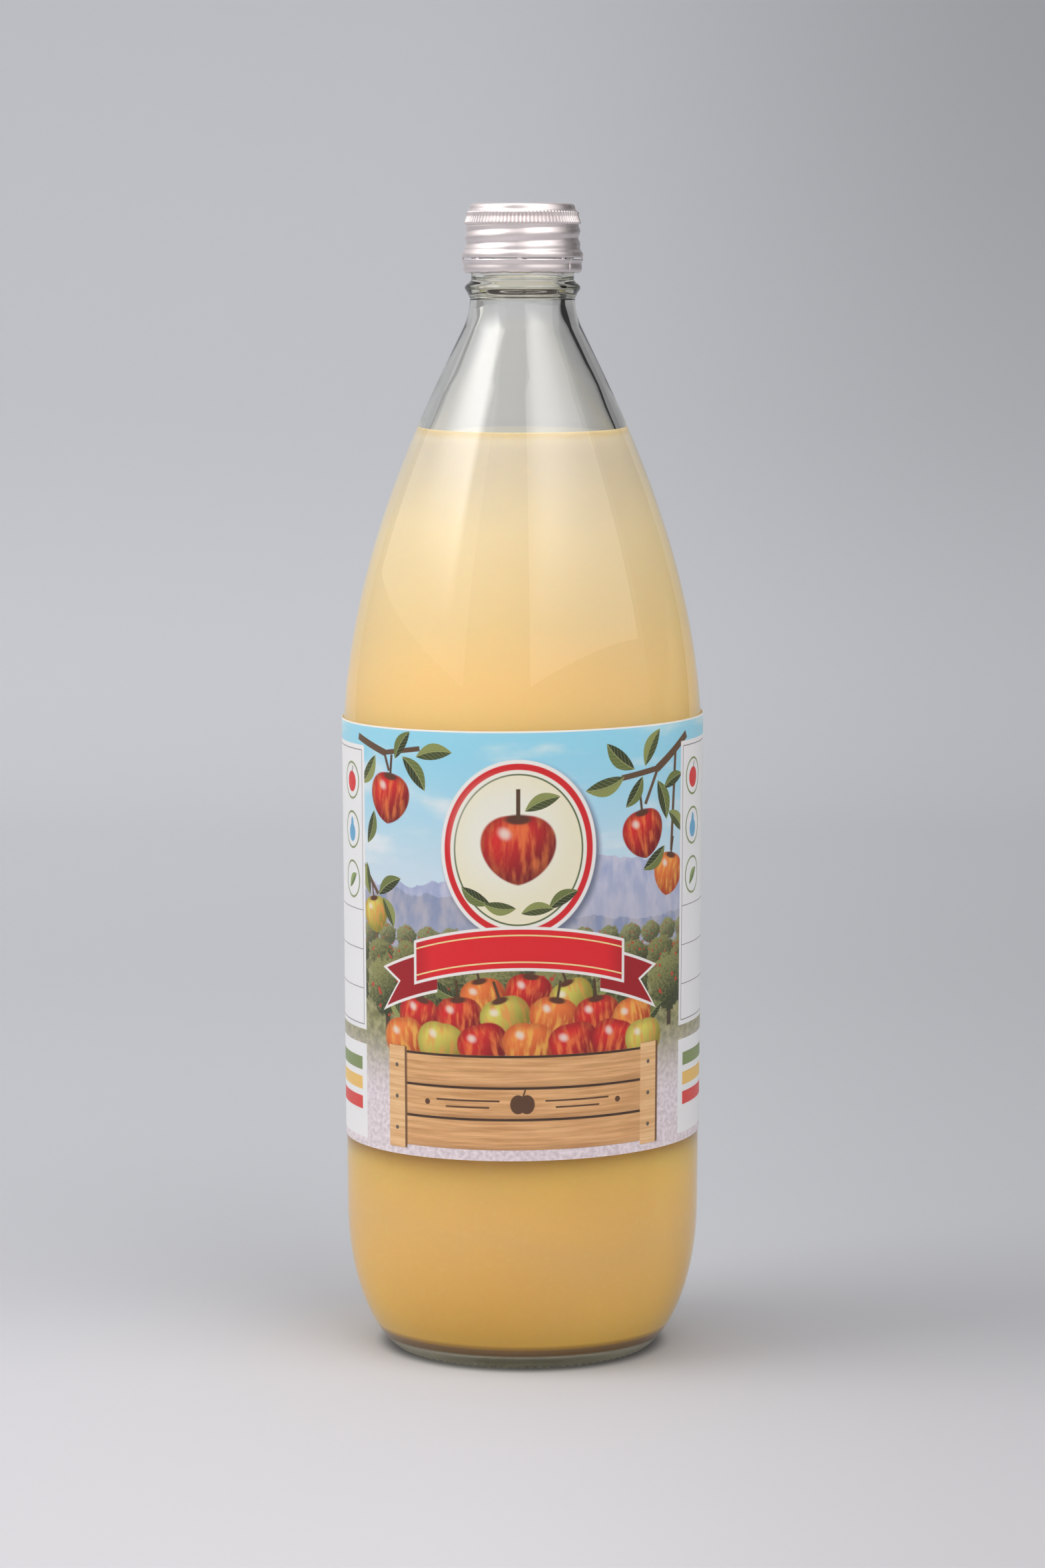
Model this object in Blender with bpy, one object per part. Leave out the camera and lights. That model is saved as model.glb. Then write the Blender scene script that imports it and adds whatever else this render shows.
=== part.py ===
"""A one-litre clear glass bottle of cloudy juice, with a roll-on metal cap and a wrap-round label.

The bottle stands on its bearing ring at the origin, with +Z up. Its front faces -Y.
Sizes are in millimetres here and become metres when the meshes are made.
"""

import math

import bmesh
import bpy

MILLIMETRE = 0.001
FITTING_GAP = 0.3

# Bottle body, from the bearing ring up to the neck
BEARING_RADIUS = 31.0
BEARING_WIDTH = 2.4
HEEL_RADIUS = 43.2
HEEL_HEIGHT = 35.7
HEEL_FOOT_PULL = 2.3
HEEL_WALL_PULL = 25.0
BELLY_RADIUS = 43.9
BELLY_HEIGHT = 145.2
SHOULDER_PULL = 34.7
CONE_RADIUS = 18.2
CONE_HEIGHT = 241.6
CONE_SLOPE = 0.485
NECK_FILLET = 17.0
NECK_RADIUS = 12.75
GLASS_WALL = 3.1
PUSH_UP = 3.2
DOME_MIDDLE = 0.55
DOME_RISE = 0.85
FLOOR_THICKNESS = 4.1
FLOOR_CORNER = 2.0
FLOOR_CROWN = 1.9

# Bead below the cap, and the plain finish that the cap covers
BEAD_RADIUS = 14.0
BEAD_HEIGHT = 259.1
BEAD_FOOT_STEP = 0.1
BEAD_FOOT_HEIGHT = 256.9
BEAD_LOWER_FLANK = (13.3, 258.0)
BEAD_UPPER_FLANK = (13.65, 259.8)
BEAD_TOP_HEIGHT = 261.1
COLLAR_RADIUS = 12.45
FINISH_TOP = 277.8
LIP_ROUNDING = 1.0
MOUTH_RADIUS = 9.5
MOUTH_BEVEL = 0.5

# Drink
DRINK_LEVEL = 224.6

# Label: a paper band, put on slightly askew, with its seam at the back
LABEL_BOTTOM = 53.3
LABEL_TOP = 155.9
LABEL_THICKNESS = 0.25
LABEL_SEAM_GAP = 1.2
LABEL_TILT_DEGREES = 0.75

# Cap shell, with its thread, knurled band, slit and tamper band
CAP_TOP = 279.4
CAP_WALL = 0.3
CAP_FACE_RADIUS = 11.5
CAP_ROUNDING = (12.4, 279.1)
CAP_SHOULDER = (12.7, 278.3)
KNURL_TOP = 277.5
KNURL_BOTTOM = 274.8
KNURL_TOP_RADIUS = 13.15
KNURL_BOTTOM_RADIUS = 14.1
KNURL_DEPTH = 0.35
KNURL_COUNT = 90
SKIRT_TOP = 274.4
SKIRT_RADIUS = 13.6
SKIRT_STEPS = 6
THREAD_HEIGHT = 0.4
THREAD_PITCH = 3.2
THREAD_WIDTH = 0.75
THREAD_TOP = 273.4
THREAD_BOTTOM = 268.9
THREAD_FRONT_CREST = 271.9
FLANGE_RADIUS = 14.6
FLANGE_TOP = 268.1
FLANGE_BOTTOM = 267.3
SLIT_TOP = 266.4
SLIT_BOTTOM = 266.0
BAND_TOP = 265.5
BRIDGE_COUNT = 8
BRIDGE_DEGREES = 3.5
BRIDGE_OFFSET_DEGREES = -3.0
BAND_WAIST = (14.25, 264.8)
BAND_BULGE = (14.4, 263.6)
BAND_CURL = (14.1, 263.0)
BAND_EDGE = (13.2, 262.7)
BAND_EDGE_INSIDE = (13.0, 262.9)

GLASS_SIDES = 56
WINDOW_STEPS = 8
FRONT_DEGREES = -90.0


def clear_scene():
    for item in list(bpy.data.objects):
        bpy.data.objects.remove(item, do_unlink=True)


def make_material(name, colour, roughness, metallic=0.0, transmission=0.0):
    material = bpy.data.materials.new(name)
    material.use_nodes = True
    shader = material.node_tree.nodes["Principled BSDF"]
    shader.inputs["Base Color"].default_value = (*colour, 1.0)
    shader.inputs["Roughness"].default_value = roughness
    shader.inputs["Metallic"].default_value = metallic
    shader.inputs["Transmission Weight"].default_value = transmission
    material.diffuse_color = (*colour, 1.0)
    return material


def arc_points(centre, radius, start_degrees, end_degrees, steps):
    """Points (radius, height) along an arc, both ends included."""
    points = []
    for step in range(steps + 1):
        angle = math.radians(start_degrees + (end_degrees - start_degrees) * step / steps)
        points.append((centre[0] + radius * math.cos(angle), centre[1] + radius * math.sin(angle)))
    return points


def curve_points(start, start_handle, end_handle, end, steps):
    """Points (radius, height) along a cubic curve, both ends included."""
    points = []
    for step in range(steps + 1):
        t = step / steps
        weights = ((1 - t) ** 3, 3 * (1 - t) ** 2 * t, 3 * (1 - t) * t * t, t**3)
        corners = (start, start_handle, end_handle, end)
        points.append(tuple(sum(w * c[axis] for w, c in zip(weights, corners)) for axis in (0, 1)))
    return points


def body_radius(height):
    """Outer radius of the straight, slightly tapered wall between heel and shoulder."""
    share = (height - HEEL_HEIGHT) / (BELLY_HEIGHT - HEEL_HEIGHT)
    return HEEL_RADIUS + (BELLY_RADIUS - HEEL_RADIUS) * share


def wall_outline(inset, heel_steps, shoulder_steps, fillet_steps):
    """The wall from heel to neck, moved inwards by the inset, as (radius, height) points."""
    lean = math.atan(CONE_SLOPE)
    heel_foot = (BEARING_RADIUS, 0.0)
    heel = curve_points(
        heel_foot,
        (BEARING_RADIUS + HEEL_FOOT_PULL, 0.0),
        (HEEL_RADIUS, HEEL_HEIGHT - HEEL_WALL_PULL),
        (HEEL_RADIUS, HEEL_HEIGHT),
        heel_steps,
    )
    cone_end = (CONE_RADIUS + SHOULDER_PULL * math.sin(lean), CONE_HEIGHT - SHOULDER_PULL * math.cos(lean))
    shoulder = curve_points(
        (BELLY_RADIUS, BELLY_HEIGHT),
        (BELLY_RADIUS, BELLY_HEIGHT + SHOULDER_PULL),
        cone_end,
        (CONE_RADIUS, CONE_HEIGHT),
        shoulder_steps,
    )
    fillet_start = NECK_RADIUS + NECK_FILLET * (1 - math.cos(lean))
    fillet_height = CONE_HEIGHT + (CONE_RADIUS - fillet_start) / CONE_SLOPE
    centre = (NECK_RADIUS + NECK_FILLET, fillet_height + NECK_FILLET * math.sin(lean))
    neck_angle = 180.0 + math.degrees(lean)
    fillet = arc_points(centre, NECK_FILLET + inset, neck_angle, 180.0, fillet_steps)
    return moved_in(heel + shoulder, inset) + fillet


def moved_in(outline, inset):
    """Each point of an outline that runs upwards, moved square to it towards the axis."""
    if inset == 0:
        return outline
    moved = []
    for index, (radius, height) in enumerate(outline):
        before = outline[max(index - 1, 0)]
        after = outline[min(index + 1, len(outline) - 1)]
        run = after[0] - before[0]
        rise = after[1] - before[1]
        length = math.hypot(run, rise)
        moved.append((radius - inset * rise / length, height + inset * run / length))
    return moved


def underside_outline():
    """The pushed-up base from its centre out to the bearing ring."""
    ring_inside = BEARING_RADIUS - BEARING_WIDTH
    return [
        (0.0, PUSH_UP),
        *curve_points(
            (DOME_MIDDLE * ring_inside, DOME_RISE * PUSH_UP),
            (DOME_RISE * ring_inside, DOME_RISE * PUSH_UP),
            (ring_inside, DOME_MIDDLE * PUSH_UP),
            (ring_inside, 0.0),
            2,
        ),
    ]


def bead_outline():
    """The transfer bead below the cap, and the plain finish up to the mouth."""
    lip_centre = (COLLAR_RADIUS - LIP_ROUNDING, FINISH_TOP - LIP_ROUNDING)
    return [
        (NECK_RADIUS + BEAD_FOOT_STEP, BEAD_FOOT_HEIGHT),
        BEAD_LOWER_FLANK,
        (BEAD_RADIUS, BEAD_HEIGHT),
        BEAD_UPPER_FLANK,
        (COLLAR_RADIUS, BEAD_TOP_HEIGHT),
        *arc_points(lip_centre, LIP_ROUNDING, 0.0, 90.0, 2),
        (MOUTH_RADIUS + MOUTH_BEVEL, FINISH_TOP),
        (MOUTH_RADIUS, FINISH_TOP - MOUTH_BEVEL),
    ]


def cavity_outline(gap=0.0):
    """The hollow from the middle of its floor up to the neck; a gap makes it smaller all round."""
    inset = GLASS_WALL + gap
    wall = wall_outline(inset, 7, 8, 3)
    floor_height = FLOOR_THICKNESS + gap
    upright = [point for point in wall if point[1] > floor_height + FLOOR_CORNER]
    corner_radius = upright[0][0]
    corner = curve_points(
        (corner_radius - 2 * FLOOR_CORNER, floor_height),
        (corner_radius - FLOOR_CORNER / 2, floor_height),
        (corner_radius - FLOOR_CORNER / 4, floor_height + FLOOR_CORNER / 4),
        upright[0],
        4,
    )
    floor_centre = (0.0, floor_height + FLOOR_CROWN)
    floor_middle = (corner_radius / 2, floor_height + FLOOR_CROWN / 2)
    return [floor_centre, floor_middle] + corner[:-1] + upright


def glass_outline():
    """The whole section: base centre, outside, mouth, inside and back to the cavity floor."""
    outside = underside_outline() + wall_outline(0.0, 8, 10, 4)[:-1] + bead_outline()
    return outside + list(reversed(cavity_outline()))


def drink_outline():
    """The drink's section, up to the level and flat on top."""
    cavity = cavity_outline(FITTING_GAP)
    below = [point for point in cavity if point[1] < DRINK_LEVEL]
    above = cavity[len(below)]
    last = below[-1]
    share = (DRINK_LEVEL - last[1]) / (above[1] - last[1])
    edge = (last[0] + (above[0] - last[0]) * share, DRINK_LEVEL)
    return below + [edge, (0.0, DRINK_LEVEL)]


def add_ring(mesh, points):
    """New vertices from (radius, degrees, height) points."""
    ring = []
    for radius, degrees, height in points:
        angle = math.radians(degrees)
        place = (radius * math.cos(angle), radius * math.sin(angle), height)
        ring.append(mesh.verts.new([value * MILLIMETRE for value in place]))
    return ring


def join_rings(mesh, lower, upper, skipped=()):
    """Faces between two rings of the same number of vertices, leaving out the skipped columns."""
    count = len(lower)
    for column in range(count):
        if column in skipped:
            continue
        following = (column + 1) % count
        mesh.faces.new((lower[column], lower[following], upper[following], upper[column]))


def zip_rings(mesh, lower, lower_degrees, upper, upper_degrees):
    """Triangles between two rings whose vertices stand at different angles."""
    i = 0
    j = 0
    turn = 360.0
    while i < len(lower) or j < len(upper):
        next_lower = lower_degrees[(i + 1) % len(lower)] + turn * ((i + 1) // len(lower))
        next_upper = upper_degrees[(j + 1) % len(upper)] + turn * ((j + 1) // len(upper))
        here_lower = lower[i % len(lower)]
        here_upper = upper[j % len(upper)]
        if i < len(lower) and (next_lower <= next_upper or j == len(upper)):
            i += 1
            mesh.faces.new((here_lower, lower[i % len(lower)], here_upper))
        else:
            j += 1
            mesh.faces.new((here_lower, upper[j % len(upper)], here_upper))


def close_with_pole(mesh, ring, height):
    """A fan of triangles from a ring to a point on the axis."""
    pole = mesh.verts.new((0.0, 0.0, height * MILLIMETRE))
    for index, vertex in enumerate(ring):
        mesh.faces.new((vertex, ring[(index + 1) % len(ring)], pole))


def finish_object(mesh, name, material, sharp_degrees=35.0):
    """Turns the built faces into a named, smoothly shaded object."""
    bmesh.ops.recalc_face_normals(mesh, faces=mesh.faces)
    data = bpy.data.meshes.new(name)
    mesh.to_mesh(data)
    mesh.free()
    data.materials.append(material)
    data.shade_smooth()
    data.set_sharp_from_angle(angle=math.radians(sharp_degrees))
    item = bpy.data.objects.new(name, data)
    bpy.context.scene.collection.objects.link(item)
    return item


def turned_object(name, outline, material):
    """A solid of revolution from an outline that starts and ends on the axis."""
    mesh = bmesh.new()
    angles = [360.0 * side / GLASS_SIDES for side in range(GLASS_SIDES)]
    rings = [
        add_ring(mesh, [(radius, angle, height) for angle in angles])
        for radius, height in outline[1:-1]
    ]
    for lower, upper in zip(rings, rings[1:]):
        join_rings(mesh, lower, upper)
    close_with_pole(mesh, rings[0], outline[0][1])
    close_with_pole(mesh, rings[-1], outline[-1][1])
    return finish_object(mesh, name, material)


def make_label(material):
    """A thin band round the body, open along its seam, with one side slightly higher."""
    mesh = bmesh.new()
    outer_radius = BELLY_RADIUS + FITTING_GAP + LABEL_THICKNESS
    seam = math.degrees(LABEL_SEAM_GAP / outer_radius)
    start = FRONT_DEGREES - 180.0 + seam / 2
    sweep = 360.0 - seam
    rise = outer_radius * math.tan(math.radians(LABEL_TILT_DEGREES))
    corners = ((LABEL_BOTTOM, 0.0), (LABEL_BOTTOM, 1.0), (LABEL_TOP, 1.0), (LABEL_TOP, 0.0))
    strips = [[] for _ in corners]
    for step in range(GLASS_SIDES + 1):
        degrees = start + sweep * step / GLASS_SIDES
        lift = rise * math.cos(math.radians(degrees))
        section = []
        for height, outwards in corners:
            radius = body_radius(height) + FITTING_GAP + LABEL_THICKNESS * outwards
            section.append((radius, degrees, height + lift))
        for strip, vertex in zip(strips, add_ring(mesh, section)):
            strip.append(vertex)
    for strip, following in zip(strips, strips[1:] + strips[:1]):
        for step in range(GLASS_SIDES):
            mesh.faces.new((strip[step], strip[step + 1], following[step + 1], following[step]))
    mesh.faces.new([strip[0] for strip in strips])
    mesh.faces.new([strip[-1] for strip in strips])
    return finish_object(mesh, "label", material)


def cap_angles():
    """Column edges: one narrow column at each bridge, and even steps along each slit."""
    angles = []
    sector = 360.0 / BRIDGE_COUNT
    for bridge in range(BRIDGE_COUNT):
        middle = FRONT_DEGREES + BRIDGE_OFFSET_DEGREES + bridge * sector
        bridge_end = middle + BRIDGE_DEGREES / 2
        angles.append(middle - BRIDGE_DEGREES / 2)
        for step in range(WINDOW_STEPS):
            angles.append(bridge_end + (sector - BRIDGE_DEGREES) * step / WINDOW_STEPS)
    return angles


def thread_bump(degrees, height):
    """How far the rolled thread stands out at a place on the skirt; it rises to the right."""
    turns = (degrees - FRONT_DEGREES) / 360.0
    offset = (height - THREAD_FRONT_CREST - turns * THREAD_PITCH) / THREAD_PITCH
    distance = abs(offset - round(offset)) * THREAD_PITCH
    ridge = math.exp(-((distance / THREAD_WIDTH) ** 2))
    fade_in = min(max((THREAD_TOP - height) / THREAD_WIDTH + 0.5, 0.0), 1.0)
    fade_out = min(max((height - THREAD_BOTTOM) / THREAD_WIDTH + 0.5, 0.0), 1.0)
    return THREAD_HEIGHT * ridge * fade_in * fade_out


def plain_ring(mesh, angles, radius, height):
    return add_ring(mesh, [(radius, degrees, height) for degrees in angles])


def skirt_rings(mesh, angles):
    """Rings of the threaded skirt from the flange up to the knurled band."""
    rings = []
    for step in range(SKIRT_STEPS + 1):
        height = FLANGE_TOP + (SKIRT_TOP - FLANGE_TOP) * step / SKIRT_STEPS
        points = [(SKIRT_RADIUS + thread_bump(degrees, height), degrees, height) for degrees in angles]
        rings.append(add_ring(mesh, points))
    return rings


def knurl_ring(mesh, angles, radius, height):
    """A ring that steps out and in, one tooth at a time."""
    points = []
    for index, degrees in enumerate(angles):
        points.append((radius - KNURL_DEPTH * (index % 2), degrees, height))
    return add_ring(mesh, points)


def cut_slits(mesh, inside, outside, windows):
    """Walls round each slit, between the inner and the outer pair of rings."""
    for column in windows:
        following = (column + 1) % len(inside[0])
        for inner, outer in zip(inside, outside):
            mesh.faces.new((inner[column], inner[following], outer[following], outer[column]))
    for bridge in range(BRIDGE_COUNT):
        bridge_start = bridge * (WINDOW_STEPS + 1)
        for column in (bridge_start, bridge_start + 1):
            mesh.faces.new((inside[0][column], inside[1][column], outside[1][column], outside[0][column]))


def cap_inside_outline():
    """The inner side of the shell, from its flat top down to the tamper band's edge."""
    flange_inside = FLANGE_RADIUS - CAP_WALL
    return [
        (CAP_FACE_RADIUS - CAP_WALL, CAP_TOP - CAP_WALL),
        (CAP_SHOULDER[0] - CAP_WALL, CAP_SHOULDER[1] - CAP_WALL),
        (SKIRT_RADIUS - CAP_WALL, KNURL_BOTTOM),
        (SKIRT_RADIUS - CAP_WALL, FLANGE_TOP),
        (flange_inside, FLANGE_BOTTOM),
        (flange_inside, SLIT_TOP),
        (flange_inside, SLIT_BOTTOM),
        (BAND_WAIST[0] - CAP_WALL, BAND_WAIST[1]),
        (BAND_CURL[0] - CAP_WALL, BAND_CURL[1] + CAP_WALL),
        BAND_EDGE_INSIDE,
    ]


def cap_outside_outline():
    """The outer side of the shell, from the tamper band's edge up to the flange."""
    return [
        BAND_EDGE,
        BAND_CURL,
        BAND_BULGE,
        BAND_WAIST,
        (FLANGE_RADIUS, BAND_TOP),
        (FLANGE_RADIUS, SLIT_BOTTOM),
        (FLANGE_RADIUS, SLIT_TOP),
        (FLANGE_RADIUS, FLANGE_BOTTOM),
    ]


def add_cap_crown(mesh, skirt_top, angles):
    """The knurled band, the rounded shoulder and the flat top, upwards from the skirt."""
    points = 2 * KNURL_COUNT
    knurl_angles = [angles[0] + 360.0 * point / points for point in range(points)]
    knurl_low = knurl_ring(mesh, knurl_angles, KNURL_BOTTOM_RADIUS, KNURL_BOTTOM)
    knurl_high = knurl_ring(mesh, knurl_angles, KNURL_TOP_RADIUS, KNURL_TOP)
    shoulder = plain_ring(mesh, angles, *CAP_SHOULDER)
    rounding = plain_ring(mesh, angles, *CAP_ROUNDING)
    face = plain_ring(mesh, angles, CAP_FACE_RADIUS, CAP_TOP)
    zip_rings(mesh, skirt_top, angles, knurl_low, knurl_angles)
    join_rings(mesh, knurl_low, knurl_high)
    zip_rings(mesh, knurl_high, knurl_angles, shoulder, angles)
    join_rings(mesh, shoulder, rounding)
    join_rings(mesh, rounding, face)
    close_with_pole(mesh, face, CAP_TOP)


def make_cap(material):
    """The rolled cap and its tamper band, one shell joined across the slit by the bridges."""
    mesh = bmesh.new()
    angles = cap_angles()
    windows = [column for column in range(len(angles)) if column % (WINDOW_STEPS + 1)]
    inner = [plain_ring(mesh, angles, *point) for point in cap_inside_outline()]
    outer = [plain_ring(mesh, angles, *point) for point in cap_outside_outline()]
    slit_inside = (inner[6], inner[5])
    slit_outside = (outer[5], outer[6])
    rings = inner + outer + skirt_rings(mesh, angles)
    for lower, upper in zip(rings, rings[1:]):
        at_slit = lower is slit_inside[1] or lower is slit_outside[0]
        join_rings(mesh, lower, upper, windows if at_slit else ())
    cut_slits(mesh, slit_inside, slit_outside, windows)
    add_cap_crown(mesh, rings[-1], angles)
    close_with_pole(mesh, inner[0], CAP_TOP - CAP_WALL)
    return finish_object(mesh, "cap", material, sharp_degrees=50.0)


def build():
    clear_scene()
    glass = make_material("clear_glass", (0.85, 0.9, 0.84), 0.03, transmission=1.0)
    drink = make_material("cloudy_juice", (0.72, 0.46, 0.17), 0.3)
    metal = make_material("satin_aluminium", (0.86, 0.83, 0.83), 0.3, metallic=1.0)
    paper = make_material("printed_paper", (0.42, 0.5, 0.58), 0.55)
    turned_object("bottle_glass", glass_outline(), glass)
    turned_object("juice", drink_outline(), drink)
    make_label(paper)
    make_cap(metal)


build()
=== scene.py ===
"""The looks of a one-litre glass bottle of cloudy juice with a roll-on cap and a paper label."""

import math
from itertools import pairwise

import bpy
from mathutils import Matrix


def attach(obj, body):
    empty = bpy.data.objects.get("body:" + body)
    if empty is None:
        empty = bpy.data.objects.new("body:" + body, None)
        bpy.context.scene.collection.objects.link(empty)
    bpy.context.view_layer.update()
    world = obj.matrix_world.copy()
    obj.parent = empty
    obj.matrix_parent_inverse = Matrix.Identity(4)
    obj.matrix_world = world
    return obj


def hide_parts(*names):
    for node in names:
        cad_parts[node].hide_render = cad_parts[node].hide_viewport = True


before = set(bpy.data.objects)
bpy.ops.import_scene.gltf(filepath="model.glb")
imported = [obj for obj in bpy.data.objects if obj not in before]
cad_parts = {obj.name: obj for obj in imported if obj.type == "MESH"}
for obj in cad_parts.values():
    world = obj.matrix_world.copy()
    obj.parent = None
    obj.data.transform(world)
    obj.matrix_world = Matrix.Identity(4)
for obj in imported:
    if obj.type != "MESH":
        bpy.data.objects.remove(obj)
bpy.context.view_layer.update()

# Sizes are in millimetres, as on the real bottle, and become metres in the meshes
MILLIMETRE = 0.001

# Camera, fitted to the photograph's 1568 x 2352 frame
FRAME_LONG_SIDE = 2352
FOCAL_PIXELS = 6800
SENSOR = 36.0
CAMERA_BACK = 1102.0
CAMERA_HEIGHT = 264.95
CAMERA_PITCH = 6.55

# Glass section
BEARING_RADIUS = 31.0
BEARING_WIDTH = 2.4
HEEL_RADIUS = 43.2
HEEL_HEIGHT = 35.7
HEEL_FOOT_PULL = 2.3
HEEL_WALL_PULL = 25.0
BELLY_RADIUS = 43.9
BELLY_HEIGHT = 145.2
SHOULDER_PULL = 34.7
CONE_RADIUS = 18.2
CONE_HEIGHT = 241.6
CONE_SLOPE = 0.485
NECK_FILLET = 17.0
NECK_RADIUS = 12.75
GLASS_WALL = 3.1
PUSH_UP = 3.2
DOME_MIDDLE = 0.55
DOME_RISE = 0.85
FLOOR_THICKNESS = 4.1
FLOOR_CORNER = 2.0
FLOOR_CROWN = 1.9
BEAD_RADIUS = 14.0
BEAD_HEIGHT = 259.1
BEAD_FOOT_HEIGHT = 256.9
BEAD_TOP_HEIGHT = 261.1
BEAD_TINT_REACH = (1.0, 2.5)
COLLAR_RADIUS = 12.45
FINISH_TOP = 277.8
LIP_ROUNDING = 1.0
MOUTH_RADIUS = 9.5
STIPPLE_COUNT = 96
STIPPLE_HEIGHT = 0.35
GLASS_COLUMNS = 4 * STIPPLE_COUNT
INNER_WAVE = 0.12

# Drink
DRINK_LEVEL = 224.6
# Height from which a painted darker band runs up to the level
LEVEL_SHADE_START = 222.2
DRINK_REACH = 0.08
DRINK_FOOT_RADIUS = 4.0
DRINK_FOOT_HEIGHT = 6.0
# Height at which the painted shade at the drink's foot fades out
FOOT_SHADE_FADE_HEIGHT = 7.2
# Radii across which the painted shade inside and outside the foot's painted pale ring fades
FOOT_INNER_SHADE_EDGE = (6.0, 12.0)
FOOT_OUTER_SHADE_EDGE = (29.8, 32.5)
DRINK_COLUMNS = 192

# Label
LABEL_BOTTOM = 53.3
LABEL_TOP = 155.9
LABEL_THICKNESS = 0.11
LABEL_CLEARANCE = 0.03
LABEL_TILT_DEGREES = 0.75
LABEL_OVERLAP = 4.0
LABEL_COLUMNS = 240
LABEL_ROWS = 40

# Print on the label, from the middle of its front and its lower edge
PRINT_LENGTH = 279.8
PRINT_HEIGHT = 102.6
PRINT_GAIN = 1.28
PAPER_WHITE = 0.95
FRONT_COLUMNS = (-45.5, -15.0, 15.0, 45.5)
FRONT_ROWS = (0.0, 28.0, 56.0, 102.6)
CRATE_FOOT = 2.6
CRATE_HALF = 36.0
PLANK_PITCH = 7.6
POST_HALF = 2.6
BADGE_PLACE = (-1.0, 74.5)
BADGE_HALF = (17.5, 20.0)
BADGE_APPLE = (-1.0, 75.0, 9.0)
RIBBON_PLACE = (-1.0, 51.0)
RIBBON_HALF = 4.6
RIBBON_SAG = 0.006
STEMS_ABOVE = 33.0
SIDE_PANEL = 62.0
SKY_FOOT = 50.0
TREES_FOOT = 30.0

# Fruit, listed one by one: middle x and y, radius, turn in degrees and kind
HANGING_APPLES = (
    (31.5, 77.0, 6.4, 8.0, 0),
    (40.5, 66.5, 5.6, -12.0, 1),
    (-35.5, 86.0, 6.6, -6.0, 0),
    (-41.0, 57.5, 4.8, 10.0, 2),
)
HEAP = (
    (-9.5, 39.0, 5.6, 12.0, 1),
    (1.5, 40.0, 5.7, -6.0, 0),
    (12.0, 38.6, 5.5, 20.0, 2),
    (-26.5, 33.6, 6.0, -14.0, 0),
    (-15.5, 34.0, 6.0, 4.0, 0),
    (-4.0, 34.2, 6.1, 18.0, 2),
    (7.5, 34.0, 6.0, -10.0, 1),
    (18.5, 33.8, 6.0, 6.0, 0),
    (28.5, 33.0, 5.8, 16.0, 1),
    (-31.0, 28.0, 6.2, 8.0, 1),
    (-20.5, 27.5, 6.3, -8.0, 2),
    (-9.5, 27.6, 6.3, 14.0, 0),
    (1.5, 27.8, 6.3, -4.0, 1),
    (12.5, 27.5, 6.3, 10.0, 0),
    (23.0, 27.6, 6.2, -16.0, 0),
    (32.0, 27.2, 5.8, 4.0, 2),
)
# Start, end and width of each piece of branch
TWIGS = (
    ((48.0, 99.0), (36.0, 92.0), 2.0),
    ((36.0, 92.0), (25.0, 90.5), 1.4),
    ((36.0, 92.0), (32.0, 84.0), 0.9),
    ((43.0, 96.0), (41.5, 72.0), 1.0),
    ((-48.0, 99.5), (-37.0, 96.5), 1.7),
    ((-37.0, 96.5), (-26.0, 98.0), 1.2),
    ((-37.0, 96.5), (-35.5, 92.5), 0.8),
    ((-47.0, 70.0), (-40.0, 62.5), 1.0),
)
# Middle x and y, half length, turn in degrees and kind
LEAVES = (
    (24.0, 95.0, 5.2, 140.0, 0),
    (20.5, 88.5, 5.4, 195.0, 1),
    (29.0, 86.5, 4.4, 235.0, 0),
    (33.5, 97.5, 5.0, 60.0, 1),
    (38.5, 84.5, 5.2, -70.0, 0),
    (44.0, 79.0, 4.4, -40.0, 1),
    (35.5, 70.0, 4.6, 215.0, 0),
    (42.0, 89.0, 4.2, 20.0, 0),
    (-27.0, 92.5, 5.2, -50.0, 0),
    (-22.0, 97.5, 5.0, 8.0, 1),
    (-43.0, 91.5, 4.8, 230.0, 1),
    (-31.5, 99.0, 4.2, 55.0, 0),
    (-42.0, 78.0, 4.4, 250.0, 0),
    (-36.0, 65.0, 4.6, 30.0, 0),
    (-35.5, 58.5, 4.0, -60.0, 1),
    (-44.5, 65.5, 4.0, 100.0, 1),
    (-20.5, 40.5, 4.2, 150.0, 0),
    (21.5, 40.0, 4.4, 28.0, 1),
    (-33.5, 35.0, 3.8, 130.0, 1),
    (35.0, 33.5, 3.8, 40.0, 0),
)
BADGE_LEAVES = (
    (4.5, 86.0, 4.6, 22.0, 1),
    (-11.5, 63.0, 4.2, 150.0, 0),
    (9.5, 63.0, 4.2, 30.0, 0),
    (-5.5, 60.5, 4.0, 172.0, 1),
    (3.5, 60.5, 4.0, 8.0, 1),
)

# Cap
CAP_TOP = 279.4
CAP_WALL = 0.3
CAP_COLUMNS = 720
KNURL_COUNT = 90
KNURL_TOP = 277.5
KNURL_BOTTOM = 274.75
KNURL_TOP_RADIUS = 13.2
KNURL_BOTTOM_RADIUS = 14.1
KNURL_DEPTH = 0.4
SCALLOP_HEIGHT = 0.3
SKIRT_RADIUS = 13.95
THREAD_GROOVE = 0.5
THREAD_HALF_WIDTH = 0.85
THREAD_PITCH = 3.2
THREAD_FRONT_CREST = 271.9
THREAD_TOP = 273.9
THREAD_BOTTOM = 268.7
FLANGE_RADIUS = 14.6
SLIT_TOP = 266.35
SLIT_BOTTOM = 266.0
BAND_EDGE = 262.7
BRIDGE_COUNT = 8
BRIDGE_DEGREES = 3.5
BRIDGE_OFFSET_DEGREES = -3.0
SCORE_DEGREES = 52.0
SCORE_DEPTH = 0.15
FRONT_DEGREES = -90.0

# Ring on the floor, about the bottle's axis, across which its contact shadow fades
SHADOW_RING = (31.5, 37.0)


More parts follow.
